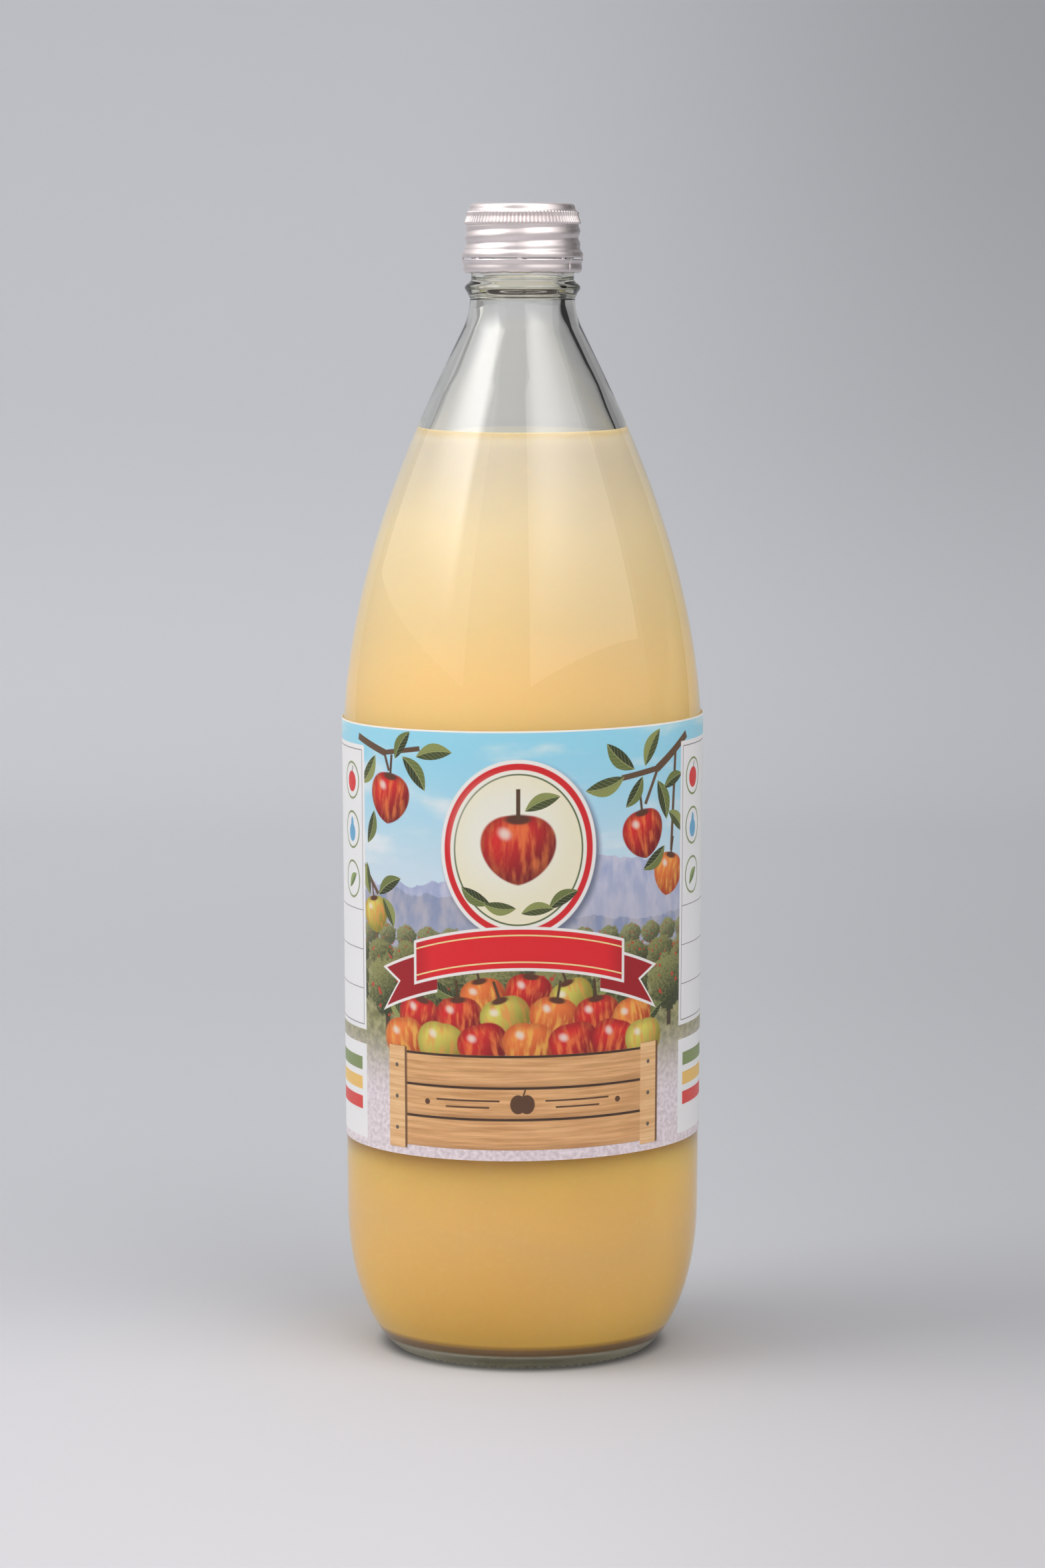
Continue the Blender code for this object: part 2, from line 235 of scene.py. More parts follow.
def srgb(red, green, blue):
    """A screen colour, 0 to 255 each, as the linear colour that a shader takes."""
    linear = []
    for value in (red, green, blue):
        share = value / 255.0
        linear.append(share / 12.92 if share <= 0.04045 else ((share + 0.055) / 1.055) ** 2.4)
    return (*linear, 1.0)


def smooth(value, low, high):
    """0 below low, 1 above high and a smooth step between them."""
    share = min(max((value - low) / (high - low), 0.0), 1.0)
    return share * share * (3.0 - 2.0 * share)


def add_camera():
    data = bpy.data.cameras.new("camera")
    data.sensor_width = SENSOR
    data.lens = FOCAL_PIXELS / FRAME_LONG_SIDE * SENSOR
    camera = bpy.data.objects.new("camera", data)
    camera.location = (0.0, -CAMERA_BACK * MILLIMETRE, CAMERA_HEIGHT * MILLIMETRE)
    camera.rotation_euler = (math.radians(90.0 - CAMERA_PITCH), 0.0, 0.0)
    bpy.context.scene.collection.objects.link(camera)
    bpy.context.scene.camera = camera


# Share of the drink's height and its colour there: deeper amber lower down, as pulp settles, with painted
# light as well: paler towards the level for the light and reflections from above, and brighter next to the
# label's edges to offset the label's shadow
DRINK_COLOURS_AND_PAINTED_LIGHT = (
    (0.05, srgb(245, 199, 98)),
    (0.14, srgb(232, 194, 124)),
    (0.19, srgb(240, 200, 118)),
    (0.24, srgb(254, 208, 110)),
    (0.70, srgb(249, 213, 152)),
    (0.80, srgb(232, 210, 165)),
    (0.90, srgb(228, 212, 181)),
    (1.00, srgb(204, 196, 185)),
)


class Nodes:
    """Short names for building a material's nodes."""

    def __init__(self, name):
        self.material = bpy.data.materials.new(name)
        self.material.use_nodes = True
        self.tree = self.material.node_tree
        self.tree.nodes.clear()

    def add(self, kind, inputs=None, **settings):
        node = self.tree.nodes.new(f"ShaderNode{kind}")
        for name, value in settings.items():
            setattr(node, name, value)
        for name, value in (inputs or {}).items():
            self.put(node.inputs[name], value)
        return node

    def put(self, socket, value):
        if isinstance(value, bpy.types.NodeSocket):
            self.tree.links.new(value, socket)
        else:
            socket.default_value = value

    def math(self, operation, first, second=0.0):
        return self.add("Math", {0: first, 1: second}, operation=operation).outputs[0]

    def plus(self, first, second):
        return self.math("ADD", first, second)

    def minus(self, first, second):
        return self.math("SUBTRACT", first, second)

    def times(self, first, second):
        return self.math("MULTIPLY", first, second)

    def size(self, value):
        """The value without its sign."""
        return self.math("ABSOLUTE", value)

    def vector(self, operation, first, second):
        node = self.add("VectorMath", {0: first, 1: second}, operation=operation)
        return node.outputs[0] if node.outputs[0].enabled else node.outputs[1]

    def length(self, vector):
        return self.vector("LENGTH", vector, (0.0, 0.0, 0.0))

    def split(self, vector):
        return self.add("SeparateXYZ", {0: vector}).outputs

    def position(self):
        """The point of the surface, in metres."""
        return self.add("NewGeometry").outputs["Position"]

    def from_axis(self, place):
        """The distance from the bottle's axis."""
        return self.length(self.vector("MULTIPLY", place, (1.0, 1.0, 0.0)))

    def step(self, value, low, high, start=0.0, end=1.0):
        """A smooth change from start to end as the value goes from low to high."""
        inputs = {"Value": value, "From Min": low, "From Max": high, "To Min": start, "To Max": end}
        return self.add("MapRange", inputs, interpolation_type="SMOOTHSTEP").outputs[0]

    def rise(self, length, low, high, start=0.0, end=1.0):
        """The same between two lengths given in millimetres."""
        return self.step(length, low * MILLIMETRE, high * MILLIMETRE, start, end)

    def mix(self, share, first, second):
        node = self.add("Mix", data_type="RGBA")
        self.put(node.inputs[0], share)
        self.put(node.inputs[6], first)
        self.put(node.inputs[7], second)
        return node.outputs[2]

    def noise(self, scale, place, detail=2.0, roughness=0.5):
        inputs = {"Scale": scale, "Detail": detail, "Roughness": roughness, "Vector": place}
        return self.add("TexNoise", inputs).outputs[0]

    def ramp(self, value, stops):
        """A colour that runs through the stops, each a place from 0 to 1 and its colour."""
        node = self.add("ValToRGB", {0: value})
        elements = node.color_ramp.elements
        elements[0].position, elements[0].color = stops[0]
        elements[1].position, elements[1].color = stops[-1]
        for place, colour in stops[1:-1]:
            elements.new(place).color = colour
        return node.outputs[0]

    def output(self, surface, volume=None):
        """Ends the material with these sockets and gives the material."""
        node = self.add("OutputMaterial", {"Surface": surface})
        if volume is not None:
            self.put(node.inputs["Volume"], volume)
        return self.material

    def principled(self, inputs):
        return self.add("BsdfPrincipled", inputs).outputs[0]


def glass_material():
    """Clear glass with a faint green tint; rays towards lamps pass straight through it."""
    nodes = Nodes("clear_glass")
    height = nodes.split(nodes.position())[2]
    from_bead = nodes.size(nodes.minus(height, BEAD_HEIGHT * MILLIMETRE))
    bead = nodes.rise(from_bead, *BEAD_TINT_REACH, 1.0, 0.0)
    colour = nodes.mix(bead, (1.0, 1.0, 1.0, 1.0), (0.97, 0.94, 0.84, 1.0))
    inputs = {"Base Color": colour, "Roughness": 0.0, "IOR": 1.52, "Transmission Weight": 1.0}
    clear = nodes.principled(inputs)
    through = nodes.add("BsdfTransparent", {"Color": (0.93, 0.95, 0.93, 1.0)})
    path = nodes.add("LightPath")
    mixed = nodes.add("MixShader", {0: path.outputs["Is Shadow Ray"]})
    nodes.put(mixed.inputs[1], clear)
    nodes.put(mixed.inputs[2], through.outputs[0])
    tint = nodes.add("VolumeAbsorption", {"Color": (0.75, 0.745, 0.5, 1.0), "Density": 32.0})
    return nodes.output(mixed.outputs[0], tint.outputs[0])


def drink_material():
    """Cloudy juice, deeper amber towards the base, with fine floating pulp; painted paler near the level,
    with a painted darker band just under the level and painted shade at its foot.
    """
    nodes = Nodes("cloudy_juice")
    place = nodes.position()
    height = nodes.split(place)[2]
    drift = nodes.noise(18.0, place, detail=3.0)
    level = nodes.plus(height, nodes.times(nodes.minus(drift, 0.5), 0.03))
    body = nodes.ramp(nodes.math("DIVIDE", level, DRINK_LEVEL * MILLIMETRE), DRINK_COLOURS_AND_PAINTED_LIGHT)
    pulp = nodes.step(nodes.noise(700.0, place, detail=4.0), 0.5, 0.8, 0.0, 0.12)
    # Painted shade: a darker tan band in the last few millimetres under the level
    rim = nodes.rise(height, LEVEL_SHADE_START, DRINK_LEVEL, 0.0, 0.8)
    # Painted shade: darker brown at the foot, where little light reaches
    foot = nodes.rise(height, DRINK_FOOT_HEIGHT, FOOT_SHADE_FADE_HEIGHT, 0.65, 0.0)
    colour = nodes.mix(rim, nodes.mix(pulp, body, srgb(243, 222, 176)), srgb(186, 160, 118))
    colour = nodes.mix(foot, colour, srgb(142, 96, 42))
    inputs = {
        "Base Color": colour,
        "Roughness": 0.5,
        "Specular IOR Level": 0.0,
        "Subsurface Weight": 1.0,
        "Subsurface Radius": (1.0, 0.8, 0.6),
        "Subsurface Scale": 0.014,
    }
    return nodes.output(nodes.principled(inputs))


def drink_surface_material():
    """The open top of the drink, smooth and wet, so that it mirrors the glass at a low angle."""
    nodes = Nodes("juice_surface")
    colour = nodes.mix(nodes.noise(300.0, nodes.position()), srgb(214, 198, 164), srgb(222, 208, 178))
    return nodes.output(nodes.principled({"Base Color": colour, "Roughness": 0.03, "IOR": 1.35}))


def drink_foot_material():
    """The rim of the drink's underside: painted pale for the light gathered in the glass base, with painted
    dark shade inside and outside it.
    """
    nodes = Nodes("juice_foot_painted_light")
    place = nodes.position()
    radius = nodes.from_axis(place)
    # Painted light: a pale ring standing in for the light in the glass base
    painted_light = nodes.mix(nodes.noise(90.0, place), (0.93, 0.92, 0.85, 1.0), (0.98, 0.97, 0.91, 1.0))
    # Painted shade in the middle of the underside
    inner = nodes.mix(nodes.rise(radius, *FOOT_INNER_SHADE_EDGE), (0.07, 0.05, 0.03, 1.0), painted_light)
    inputs = {
        # Painted dark brown shade outside the pale ring, towards the bearing ring
        "Base Color": nodes.mix(nodes.rise(radius, *FOOT_OUTER_SHADE_EDGE), inner, (0.26, 0.14, 0.045, 1.0)),
        "Roughness": 0.5,
        "Subsurface Weight": 1.0,
        "Subsurface Radius": (1.0, 1.0, 1.0),
        "Subsurface Scale": 0.03,
    }
    return nodes.output(nodes.principled(inputs))


def cap_material():
    """Lacquered aluminium, satin, with the faint streaks of drawn sheet."""
    nodes = Nodes("satin_aluminium")
    place = nodes.position()
    stretched = nodes.add("Mapping", {"Vector": place, "Scale": (900.0, 900.0, 60.0)}).outputs[0]
    streaks = nodes.noise(1.0, stretched, detail=3.0)
    patches = nodes.noise(160.0, place)
    colour = nodes.mix(patches, (0.81, 0.735, 0.73, 1.0), (0.87, 0.8, 0.795, 1.0))
    rough = nodes.step(streaks, 0.2, 0.8, 0.42, 0.5)
    bump = nodes.add("Bump", {"Height": streaks, "Strength": 0.05, "Distance": 0.0002})
    inputs = {"Base Color": colour, "Metallic": 1.0, "Roughness": rough, "Normal": bump.outputs[0]}
    return nodes.output(nodes.principled(inputs))


def ink(red, green, blue):
    """A printed colour as seen in the studio's light, given as the paper's own colour there."""
    colour = srgb(red, green, blue)[:3]
    gain = min(PRINT_GAIN, PAPER_WHITE / max(colour))
    return (*(value * gain for value in colour), 1.0)


# Dark, light and blush of each kind of fruit, and dark and light of each kind of leaf
APPLE_INKS = (
    (ink(112, 18, 24), ink(204, 40, 38), ink(222, 128, 66)),
    (ink(160, 60, 30), ink(226, 128, 62), ink(232, 188, 92)),
    (ink(128, 122, 46), ink(206, 196, 96), ink(214, 132, 74)),
)
LEAF_INKS = (
    (ink(50, 58, 32), ink(104, 114, 62)),
    (ink(70, 78, 42), ink(136, 142, 84)),
)
PANEL_WHITE = ink(232, 228, 229)
# How far each rim of the oval goes past its half size, and its colour
BADGE_RIMS = (
    (1.4, ink(236, 230, 226)),
    (0.5, ink(196, 32, 38)),
    (-1.0, ink(236, 230, 218)),
    (-1.9, ink(84, 100, 58)),
    (-2.3, ink(238, 226, 200)),
)


class Painter(Nodes):
    """Paints shapes over one another on the flat label; lengths are in millimetres."""

    def __init__(self, name):
        super().__init__(name)
        place = self.add("UVMap", uv_map="print").outputs[0]
        spread = {
            "Vector": place,
            "Location": (-PRINT_LENGTH / 2, 0.0, 0.0),
            "Scale": (PRINT_LENGTH, PRINT_HEIGHT, 1.0),
        }
        self.point = self.add("Mapping", spread).outputs[0]
        self.across, self.up, _ = self.split(self.point)
        self.colour = ink(226, 218, 216)

    def stretched(self, scale):
        """The point with its lengths scaled, for patterns longer one way than the other."""
        return self.vector("MULTIPLY", self.point, scale)

    def local(self, x, y, width, height, turn=0.0):
        """The point as seen from a shape: 1 at its half width and half height."""
        shape = {
            "Vector": self.point,
            "Location": (x, y, 0.0),
            "Rotation": (0.0, 0.0, math.radians(turn)),
            "Scale": (width, height, 1.0),
        }
        return self.add("Mapping", shape, vector_type="TEXTURE").outputs[0]

    def cover(self, share, colour):
        self.colour = self.mix(share, self.colour, colour)

    def within(self, value, limit, soft):
        return self.step(value, limit - soft, limit + soft, 1.0, 0.0)

    def mottle(self, scale, first, second):
        """A patchy mixture of two colours."""
        return self.mix(self.step(self.noise(scale, self.point, detail=4.0), 0.3, 0.7), first, second)

    def ellipse(self, x, y, width, height, colour, turn=0.0, soft=0.02):
        reach = self.length(self.local(x, y, width, height, turn))
        self.cover(self.within(reach, 1.0, soft), colour)

    def box(self, x, y, width, height, colour, turn=0.0, soft=0.12):
        """A box given by its middle and its half sizes."""
        along, up, _ = self.split(self.local(x, y, 1.0, 1.0, turn))
        side = self.within(self.size(along), width, soft)
        level = self.within(self.size(up), height, soft)
        self.cover(self.times(side, level), colour)


def paint_sky(art):
    art.colour = art.mix(art.step(art.up, 58.0, 100.0), ink(192, 205, 216), ink(146, 198, 220))
    streaks = art.noise(1.0, art.stretched((0.035, 0.11, 1.0)), detail=5.0)
    clouds = art.step(streaks, 0.48, 0.72, 0.0, 0.75)
    art.cover(clouds, ink(226, 230, 234))


def paint_ridge(art, height, swell, length, phase, first, second):
    """A rolling ridge whose slopes show patches of two colours under some mist."""
    wave = art.math("SINE", art.plus(art.math("DIVIDE", art.across, length), phase))
    bumps = art.times(art.minus(art.noise(0.16, art.point, detail=4.0), 0.5), 6.0)
    top = art.plus(art.plus(art.times(wave, swell), bumps), height)
    below = art.minus(top, art.up)
    slopes = art.step(art.noise(1.0, art.stretched((0.3, 0.12, 1.0)), detail=4.0), 0.35, 0.65)
    mist = art.step(below, 0.0, 16.0, 0.0, 0.6)
    art.cover(art.step(below, -0.15, 0.25), art.mix(mist, art.mix(slopes, first, second), ink(172, 172, 184)))


def paint_field(art):
    """Grass under the trees that fades to pale dust at the lower corners."""
    grass = art.mottle(0.5, ink(112, 112, 74), ink(158, 154, 114))
    dust = art.mottle(0.9, ink(192, 180, 184), ink(218, 208, 212))
    art.cover(art.within(art.up, 50.0, 0.6), art.mix(art.step(art.up, 12.0, 33.0), dust, grass))


def paint_trees(art, foot, pitch, half_width, half_height, phase, dark, light):
    """A row of round crowns with fruit, one in each pitch."""
    column = art.math("FRACT", art.plus(art.math("DIVIDE", art.across, pitch), phase))
    aside = art.times(art.minus(column, 0.5), pitch / half_width)
    above = art.minus(art.math("DIVIDE", art.minus(art.up, foot), half_height), 1.5)
    crown = art.add("CombineXYZ", {0: aside, 1: above}).outputs[0]
    ragged = art.minus(art.noise(0.55, art.point, detail=4.0, roughness=0.7), 0.5)
    edge = art.plus(art.length(crown), ragged)
    lit = art.vector("DOT_PRODUCT", crown, (-0.2, 0.3, 0.0))
    tone = art.plus(lit, art.noise(1.3, art.point, detail=3.0, roughness=0.7))
    leaves = art.mix(art.step(tone, 0.25, 0.85), dark, light)
    spots = art.add("TexVoronoi", {"Vector": art.point, "Scale": 3.2 / half_width})
    leaves = art.mix(art.step(spots.outputs["Distance"], 0.16, 0.24, 0.9, 0.0), leaves, ink(182, 62, 48))
    trunk = art.within(art.size(aside), 0.1, 0.04)
    under_crown = art.times(art.step(above, -1.5, -1.4), art.within(above, 0.0, 0.1))
    art.cover(art.times(trunk, under_crown), ink(74, 60, 44))
    art.cover(art.within(edge, 0.92, 0.06), leaves)


def paint_leaf(art, x, y, reach, turn, dark, light):
    """A pointed leaf, bent a little, with a midrib and side veins; reach is half its length."""
    along, across, _ = art.split(art.local(x, y, reach, 0.4 * reach, turn))
    squared = art.times(along, along)
    bent = art.plus(across, art.times(squared, 0.4))
    side = art.size(bent)
    slanted = art.minus(along, art.times(side, 0.5))
    veins = art.math("SINE", art.times(slanted, 24.0))
    blade = art.mix(art.step(bent, -0.12, 0.2), dark, light)
    blade = art.mix(art.step(veins, 0.6, 1.0, 0.0, 0.35), blade, ink(150, 156, 104))
    blade = art.mix(art.step(side, 0.03, 0.1, 0.7, 0.0), blade, ink(162, 166, 112))
    art.cover(art.within(art.plus(squared, side), 0.98, 0.05), blade)


def paint_apple(art, x, y, radius, turn, dark, light, blush):
    """A round fruit with a dip at its top, streaks, a dark rim and a soft highlight."""
    place = art.local(x, y, radius, radius, turn)
    along, up, _ = art.split(place)
    lobes = art.minus(0.08, art.times(art.size(along), 0.2))
    rounded = art.times(art.plus(up, lobes), 1.1)
    body = art.add("CombineXYZ", {0: along, 1: rounded}).outputs[0]
    reach = art.length(body)
    lit = art.vector("DOT_PRODUCT", body, (-0.5, 0.65, 0.0))
    skin = art.mix(art.step(lit, -0.8, 0.65), dark, light)
    drawn_out = art.vector("ADD", art.vector("MULTIPLY", place, (4.5, 1.1, 1.0)), (x, y, 0.0))
    streaks = art.noise(1.0, drawn_out, detail=3.0)
    skin = art.mix(art.step(streaks, 0.42, 0.68, 0.0, 0.7), skin, blush)
    skin = art.mix(art.step(reach, 0.6, 1.02, 0.0, 0.55), skin, dark)
    shine = art.vector("DISTANCE", body, (-0.36, 0.42, 0.0))
    skin = art.mix(art.step(shine, 0.04, 0.26, 0.75, 0.0), skin, ink(246, 236, 226))
    art.cover(art.within(reach, 1.0, 0.035), skin)


def paint_stem(art, x, y, radius, turn):
    """The stalk in the dip of an apple of that place, size and turn."""
    aside, above = polar(radius, math.radians(turn + 90.0))
    foot = (x + 0.75 * aside, y + 0.75 * above)
    tip = (x + 1.15 * aside, y + 1.15 * above)
    art.ellipse(*foot, 0.34 * radius, 0.13 * radius, ink(92, 52, 34), turn, soft=0.3)
    art.box(*tip, 0.055 * radius, 0.4 * radius, ink(84, 60, 38), turn)


def paint_twig(art, start, end, width):
    """A straight piece of branch between two places."""
    middle = ((start[0] + end[0]) / 2, (start[1] + end[1]) / 2)
    run = (end[0] - start[0], end[1] - start[1])
    turn = math.degrees(math.atan2(run[1], run[0]))
    art.box(*middle, math.hypot(*run) / 2 + 0.3, width / 2, ink(98, 74, 54), turn)


def paint_wood(art, first, second):
    """Wood grain that runs across."""
    grain = art.noise(1.0, art.stretched((0.05, 1.1, 1.0)), detail=5.0, roughness=0.6)
    return art.mix(art.step(grain, 0.3, 0.7), first, second)


def paint_crate(art):
    """Three planks between two posts, with nails."""
    wood = paint_wood(art, ink(186, 140, 92), ink(216, 174, 126))
    post_wood = paint_wood(art, ink(200, 156, 108), ink(226, 188, 142))
    rows = art.math("FRACT", art.math("DIVIDE", art.minus(art.up, CRATE_FOOT), PLANK_PITCH))
    shade = art.step(rows, 0.0, 0.25, 0.35, 0.0)
    planks = art.mix(shade, wood, ink(140, 96, 58))
    planks = art.mix(art.step(rows, 0.9, 0.94), planks, ink(64, 42, 28))
    middle = CRATE_FOOT + 1.5 * PLANK_PITCH
    art.box(0.0, middle, CRATE_HALF, 1.5 * PLANK_PITCH, planks)
    for side in (-1, 1):
        post = side * (CRATE_HALF - POST_HALF)
        art.box(post + 0.5, middle, POST_HALF + 0.2, 1.5 * PLANK_PITCH + 0.9, ink(110, 76, 48), soft=0.3)
        art.box(post, middle, POST_HALF, 1.5 * PLANK_PITCH + 0.9, post_wood)
        for plank in (0.5, 1.5, 2.5):
            art.ellipse(post, CRATE_FOOT + plank * PLANK_PITCH, 0.5, 0.5, ink(96, 84, 76), soft=0.2)


def paint_stencil(art):
    """A plain fruit outline with a rule on each side, on the middle plank."""
    brown = ink(92, 62, 40)
    height = CRATE_FOOT + 1.45 * PLANK_PITCH
    for side in (-1, 1):
        art.ellipse(side * 1.05, height, 1.9, 2.3, brown, soft=0.06)
        art.box(side * 13.5, height + 0.8, 8.0, 0.22, brown)
        art.box(side * 13.5, height - 0.8, 5.5, 0.22, brown)
        art.ellipse(side * 24.0, height, 0.7, 0.7, brown, soft=0.1)
    art.box(0.4, height + 2.7, 0.2, 0.9, brown, turn=-20.0)


def paint_badge(art):
    """A cream oval with coloured rims."""
    x, y = BADGE_PLACE
    width, height = BADGE_HALF
    art.ellipse(x + 0.8, y - 1.0, width + 1.6, height + 1.6, ink(110, 116, 134), soft=0.06)
    for reach, colour in BADGE_RIMS:
        art.ellipse(x, y, width + reach, height + reach, colour, soft=0.008)
    art.ellipse(x - 2.0, y + 3.0, width - 6.0, height - 8.0, ink(242, 236, 220), soft=0.4)


def paint_ribbon(art):
    """A red ribbon with white edges, hung in an arc, its folded ends behind."""
    x, y = RIBBON_PLACE
    along, up, _ = art.split(art.local(x, y, 1.0, 1.0))
    sag = art.times(art.times(along, along), RIBBON_SAG)
    side = art.size(along)
    level = art.size(art.plus(up, sag))
    tail = art.size(art.plus(art.plus(up, sag), 3.2))
    notch = art.plus(side, art.minus(3.0, tail))
    for reach, colour in ((0.7, ink(230, 222, 218)), (0.0, ink(150, 22, 30))):
        band = art.within(tail, RIBBON_HALF + reach, 0.12)
        ends = art.times(art.step(side, 20.0, 20.2), art.within(notch, 34.0 + reach, 0.12))
        art.cover(art.times(band, ends), colour)
    for reach, colour in ((0.7, ink(232, 224, 220)), (0.0, ink(206, 32, 40))):
        band = art.within(level, RIBBON_HALF + reach, 0.12)
        art.cover(art.times(band, art.within(side, 26.0 + reach, 0.12)), colour)
    front = art.times(art.within(level, RIBBON_HALF, 0.12), art.within(side, 26.0, 0.12))
    art.cover(art.times(front, art.step(side, 21.0, 26.0, 0.0, 0.4)), ink(130, 18, 26))
    from_rule = art.size(art.minus(level, 3.2))
    art.cover(art.times(art.within(from_rule, 0.18, 0.08), front), ink(232, 206, 150))


def paint_side_panel(art, side):
    """A white panel of empty ruled boxes, and a smaller one with three colour bars."""
    rule = ink(126, 118, 122)
    middle = side * SIDE_PANEL
    art.box(middle, 63.0, 16.4, 34.5, PANEL_WHITE)
    for edge in (-1, 1):
        art.box(middle + edge * 15.2, 63.0, 0.12, 33.3, rule, soft=0.08)
        art.box(middle, 63.0 + edge * 33.3, 15.2, 0.12, rule, soft=0.08)
    for height in (38.5, 48.0, 57.5):
        art.box(middle, height, 15.2, 0.1, rule, soft=0.08)
    art.box(middle + side * 5.0, 43.7, 0.1, 13.8, rule, soft=0.08)
    art.box(middle, 13.5, 16.4, 11.5, PANEL_WHITE)
    for height, colour in ((20.0, (120, 134, 84)), (15.2, (224, 176, 96)), (10.4, (200, 60, 52))):
        art.box(middle, height, 14.0, 1.6, ink(*colour))
    paint_round_pictures(art, middle - side * 9.0)


def paint_round_pictures(art, middle):
    """A fruit, a drop and a leaf, each in a green ring."""
    for height in (64.5, 76.5, 88.5):
        art.ellipse(middle, height, 4.6, 4.6, ink(120, 134, 84))
        art.ellipse(middle, height, 4.1, 4.1, PANEL_WHITE)
    art.ellipse(middle, 88.2, 2.6, 2.5, ink(200, 48, 44), soft=0.05)
    art.box(middle + 0.4, 91.2, 0.2, 0.9, ink(96, 70, 46), turn=-18.0)
    art.ellipse(middle, 75.8, 2.0, 2.2, ink(98, 156, 190), soft=0.05)
    art.ellipse(middle, 77.6, 0.9, 2.0, ink(98, 156, 190), soft=0.05)
    paint_leaf(art, middle, 64.5, 3.0, 40.0, ink(86, 108, 58), ink(130, 150, 84))


def near(area, x, y, reach):
    """Whether a shape of this reach about x, y can show inside an area of the print."""
    left, right, low, high = area
    return left - reach < x < right + reach and low - reach < y < high + reach


def on_front(area):
    """Whether an area belongs to the picture on the front, not to a side."""
    return FRONT_COLUMNS[0] <= area[0] and area[1] <= FRONT_COLUMNS[-1]


def paint_scenery(art, area):
    """The sky, the hills, the field and three rows of trees, as far as they reach the area."""
    if area[3] > SKY_FOOT:
        paint_sky(art)
        paint_ridge(art, 69.0, 4.0, 17.0, 0.6, ink(184, 184, 200), ink(150, 160, 188))
        paint_ridge(art, 60.0, 3.5, 21.0, 3.0, ink(168, 166, 176), ink(132, 142, 168))
    paint_field(art)
    if area[3] > SKY_FOOT:
        paint_trees(art, 48.5, 6.4, 3.5, 2.9, 0.2, ink(84, 88, 62), ink(140, 142, 100))
    if area[3] > TREES_FOOT:
        paint_trees(art, 42.0, 9.6, 5.2, 4.0, 0.55, ink(66, 72, 44), ink(134, 134, 86))
        paint_trees(art, 29.0, 15.5, 8.6, 7.6, 0.85, ink(56, 62, 34), ink(138, 138, 88))


def paint_leaves(art, area, leaves):
    for x, y, reach, turn, kind in leaves:
        if near(area, x, y, reach):
            paint_leaf(art, x, y, reach, turn, *LEAF_INKS[kind])


def paint_apples(art, area, apples):
    """Apples, each with its stalk if its middle is high enough for the stalk to show."""
    for x, y, radius, turn, kind in apples:
        if near(area, x, y, radius * 1.6):
            paint_apple(art, x, y, radius, turn, *APPLE_INKS[kind])
            if y > STEMS_ABOVE:
                paint_stem(art, x, y, radius, turn)


def paint_fruit(art, area):
    """The branches and the heap in the crate, then the crate's front."""
    for start, end, width in TWIGS:
        if near(area, *end, 14.0):
            paint_twig(art, start, end, width)
    paint_apples(art, area, HANGING_APPLES)
    paint_leaves(art, area, LEAVES)
    paint_apples(art, area, HEAP)
    if area[2] < CRATE_FOOT + 3 * PLANK_PITCH and on_front(area):
        paint_crate(art)
        paint_stencil(art)


def paint_front_signs(art, area):
    """The oval with its fruit and leaves, and the ribbon below it."""
    if near(area, *BADGE_PLACE, BADGE_HALF[1] + 2.0):
        paint_badge(art)
    paint_leaves(art, area, BADGE_LEAVES)
    if near(area, *BADGE_APPLE[:2], 12.0):
        paint_apple(art, *BADGE_APPLE, 0.0, *APPLE_INKS[0])
        paint_stem(art, *BADGE_APPLE, 0.0)
    if area[2] < RIBBON_PLACE[1] + 6.0 and area[3] > RIBBON_PLACE[1] - 14.0:
        paint_ribbon(art)


def printed_material(name, area):
    """Satin paper with the part of the print that shows in one area of the label."""
    art = Painter(name)
    paint_scenery(art, area)
    paint_fruit(art, area)
    if on_front(area):
        paint_front_signs(art, area)
    else:
        paint_side_panel(art, -1 if area[0] < 0 else 1)
    edge = art.step(art.up, PRINT_HEIGHT - 0.5, PRINT_HEIGHT - 0.3)
    art.cover(edge, ink(230, 226, 226))
    return paper_shader(art, art.colour)


def paper_shader(nodes, colour):
    """Coated paper, thin enough for some light to pass through."""
    fibres = nodes.noise(1400.0, nodes.position(), detail=3.0)
    bump = nodes.add("Bump", {"Height": fibres, "Strength": 0.08, "Distance": 0.0002})
    inputs = {
        "Base Color": colour,
        "Roughness": nodes.step(fibres, 0.3, 0.7, 0.36, 0.46),
        "Normal": bump.outputs[0],
        "Subsurface Weight": 1.0,
        "Subsurface Radius": (1.0, 1.0, 1.0),
        "Subsurface Scale": 0.00015,
    }
    return nodes.output(nodes.principled(inputs))


def paper_material():
    """The unprinted back and cut edges of the label."""
    nodes = Nodes("printed_paper")
    cloud = nodes.noise(900.0, nodes.position())
    return paper_shader(nodes, nodes.mix(cloud, (0.78, 0.77, 0.75, 1.0), (0.86, 0.85, 0.84, 1.0)))


def print_areas():
    """Boxes (left, right, low, high) of the print, each with a material of its own."""
    return [
        *(columns + rows for columns in pairwise(FRONT_COLUMNS) for rows in pairwise(FRONT_ROWS)),
        (-PRINT_LENGTH / 2, FRONT_COLUMNS[0], 0.0, PRINT_HEIGHT),
        (FRONT_COLUMNS[-1], PRINT_LENGTH / 2, 0.0, PRINT_HEIGHT),
    ]


def polar(radius, angle):
    return (radius * math.cos(angle), radius * math.sin(angle))


def arc_points(centre, radius, start_degrees, end_degrees, steps):
    """Points (radius, height) along an arc, both ends included."""
    points = []
    for step in range(steps + 1):
        x, y = polar(radius, math.radians(start_degrees + (end_degrees - start_degrees) * step / steps))
        points.append((centre[0] + x, centre[1] + y))
    return points


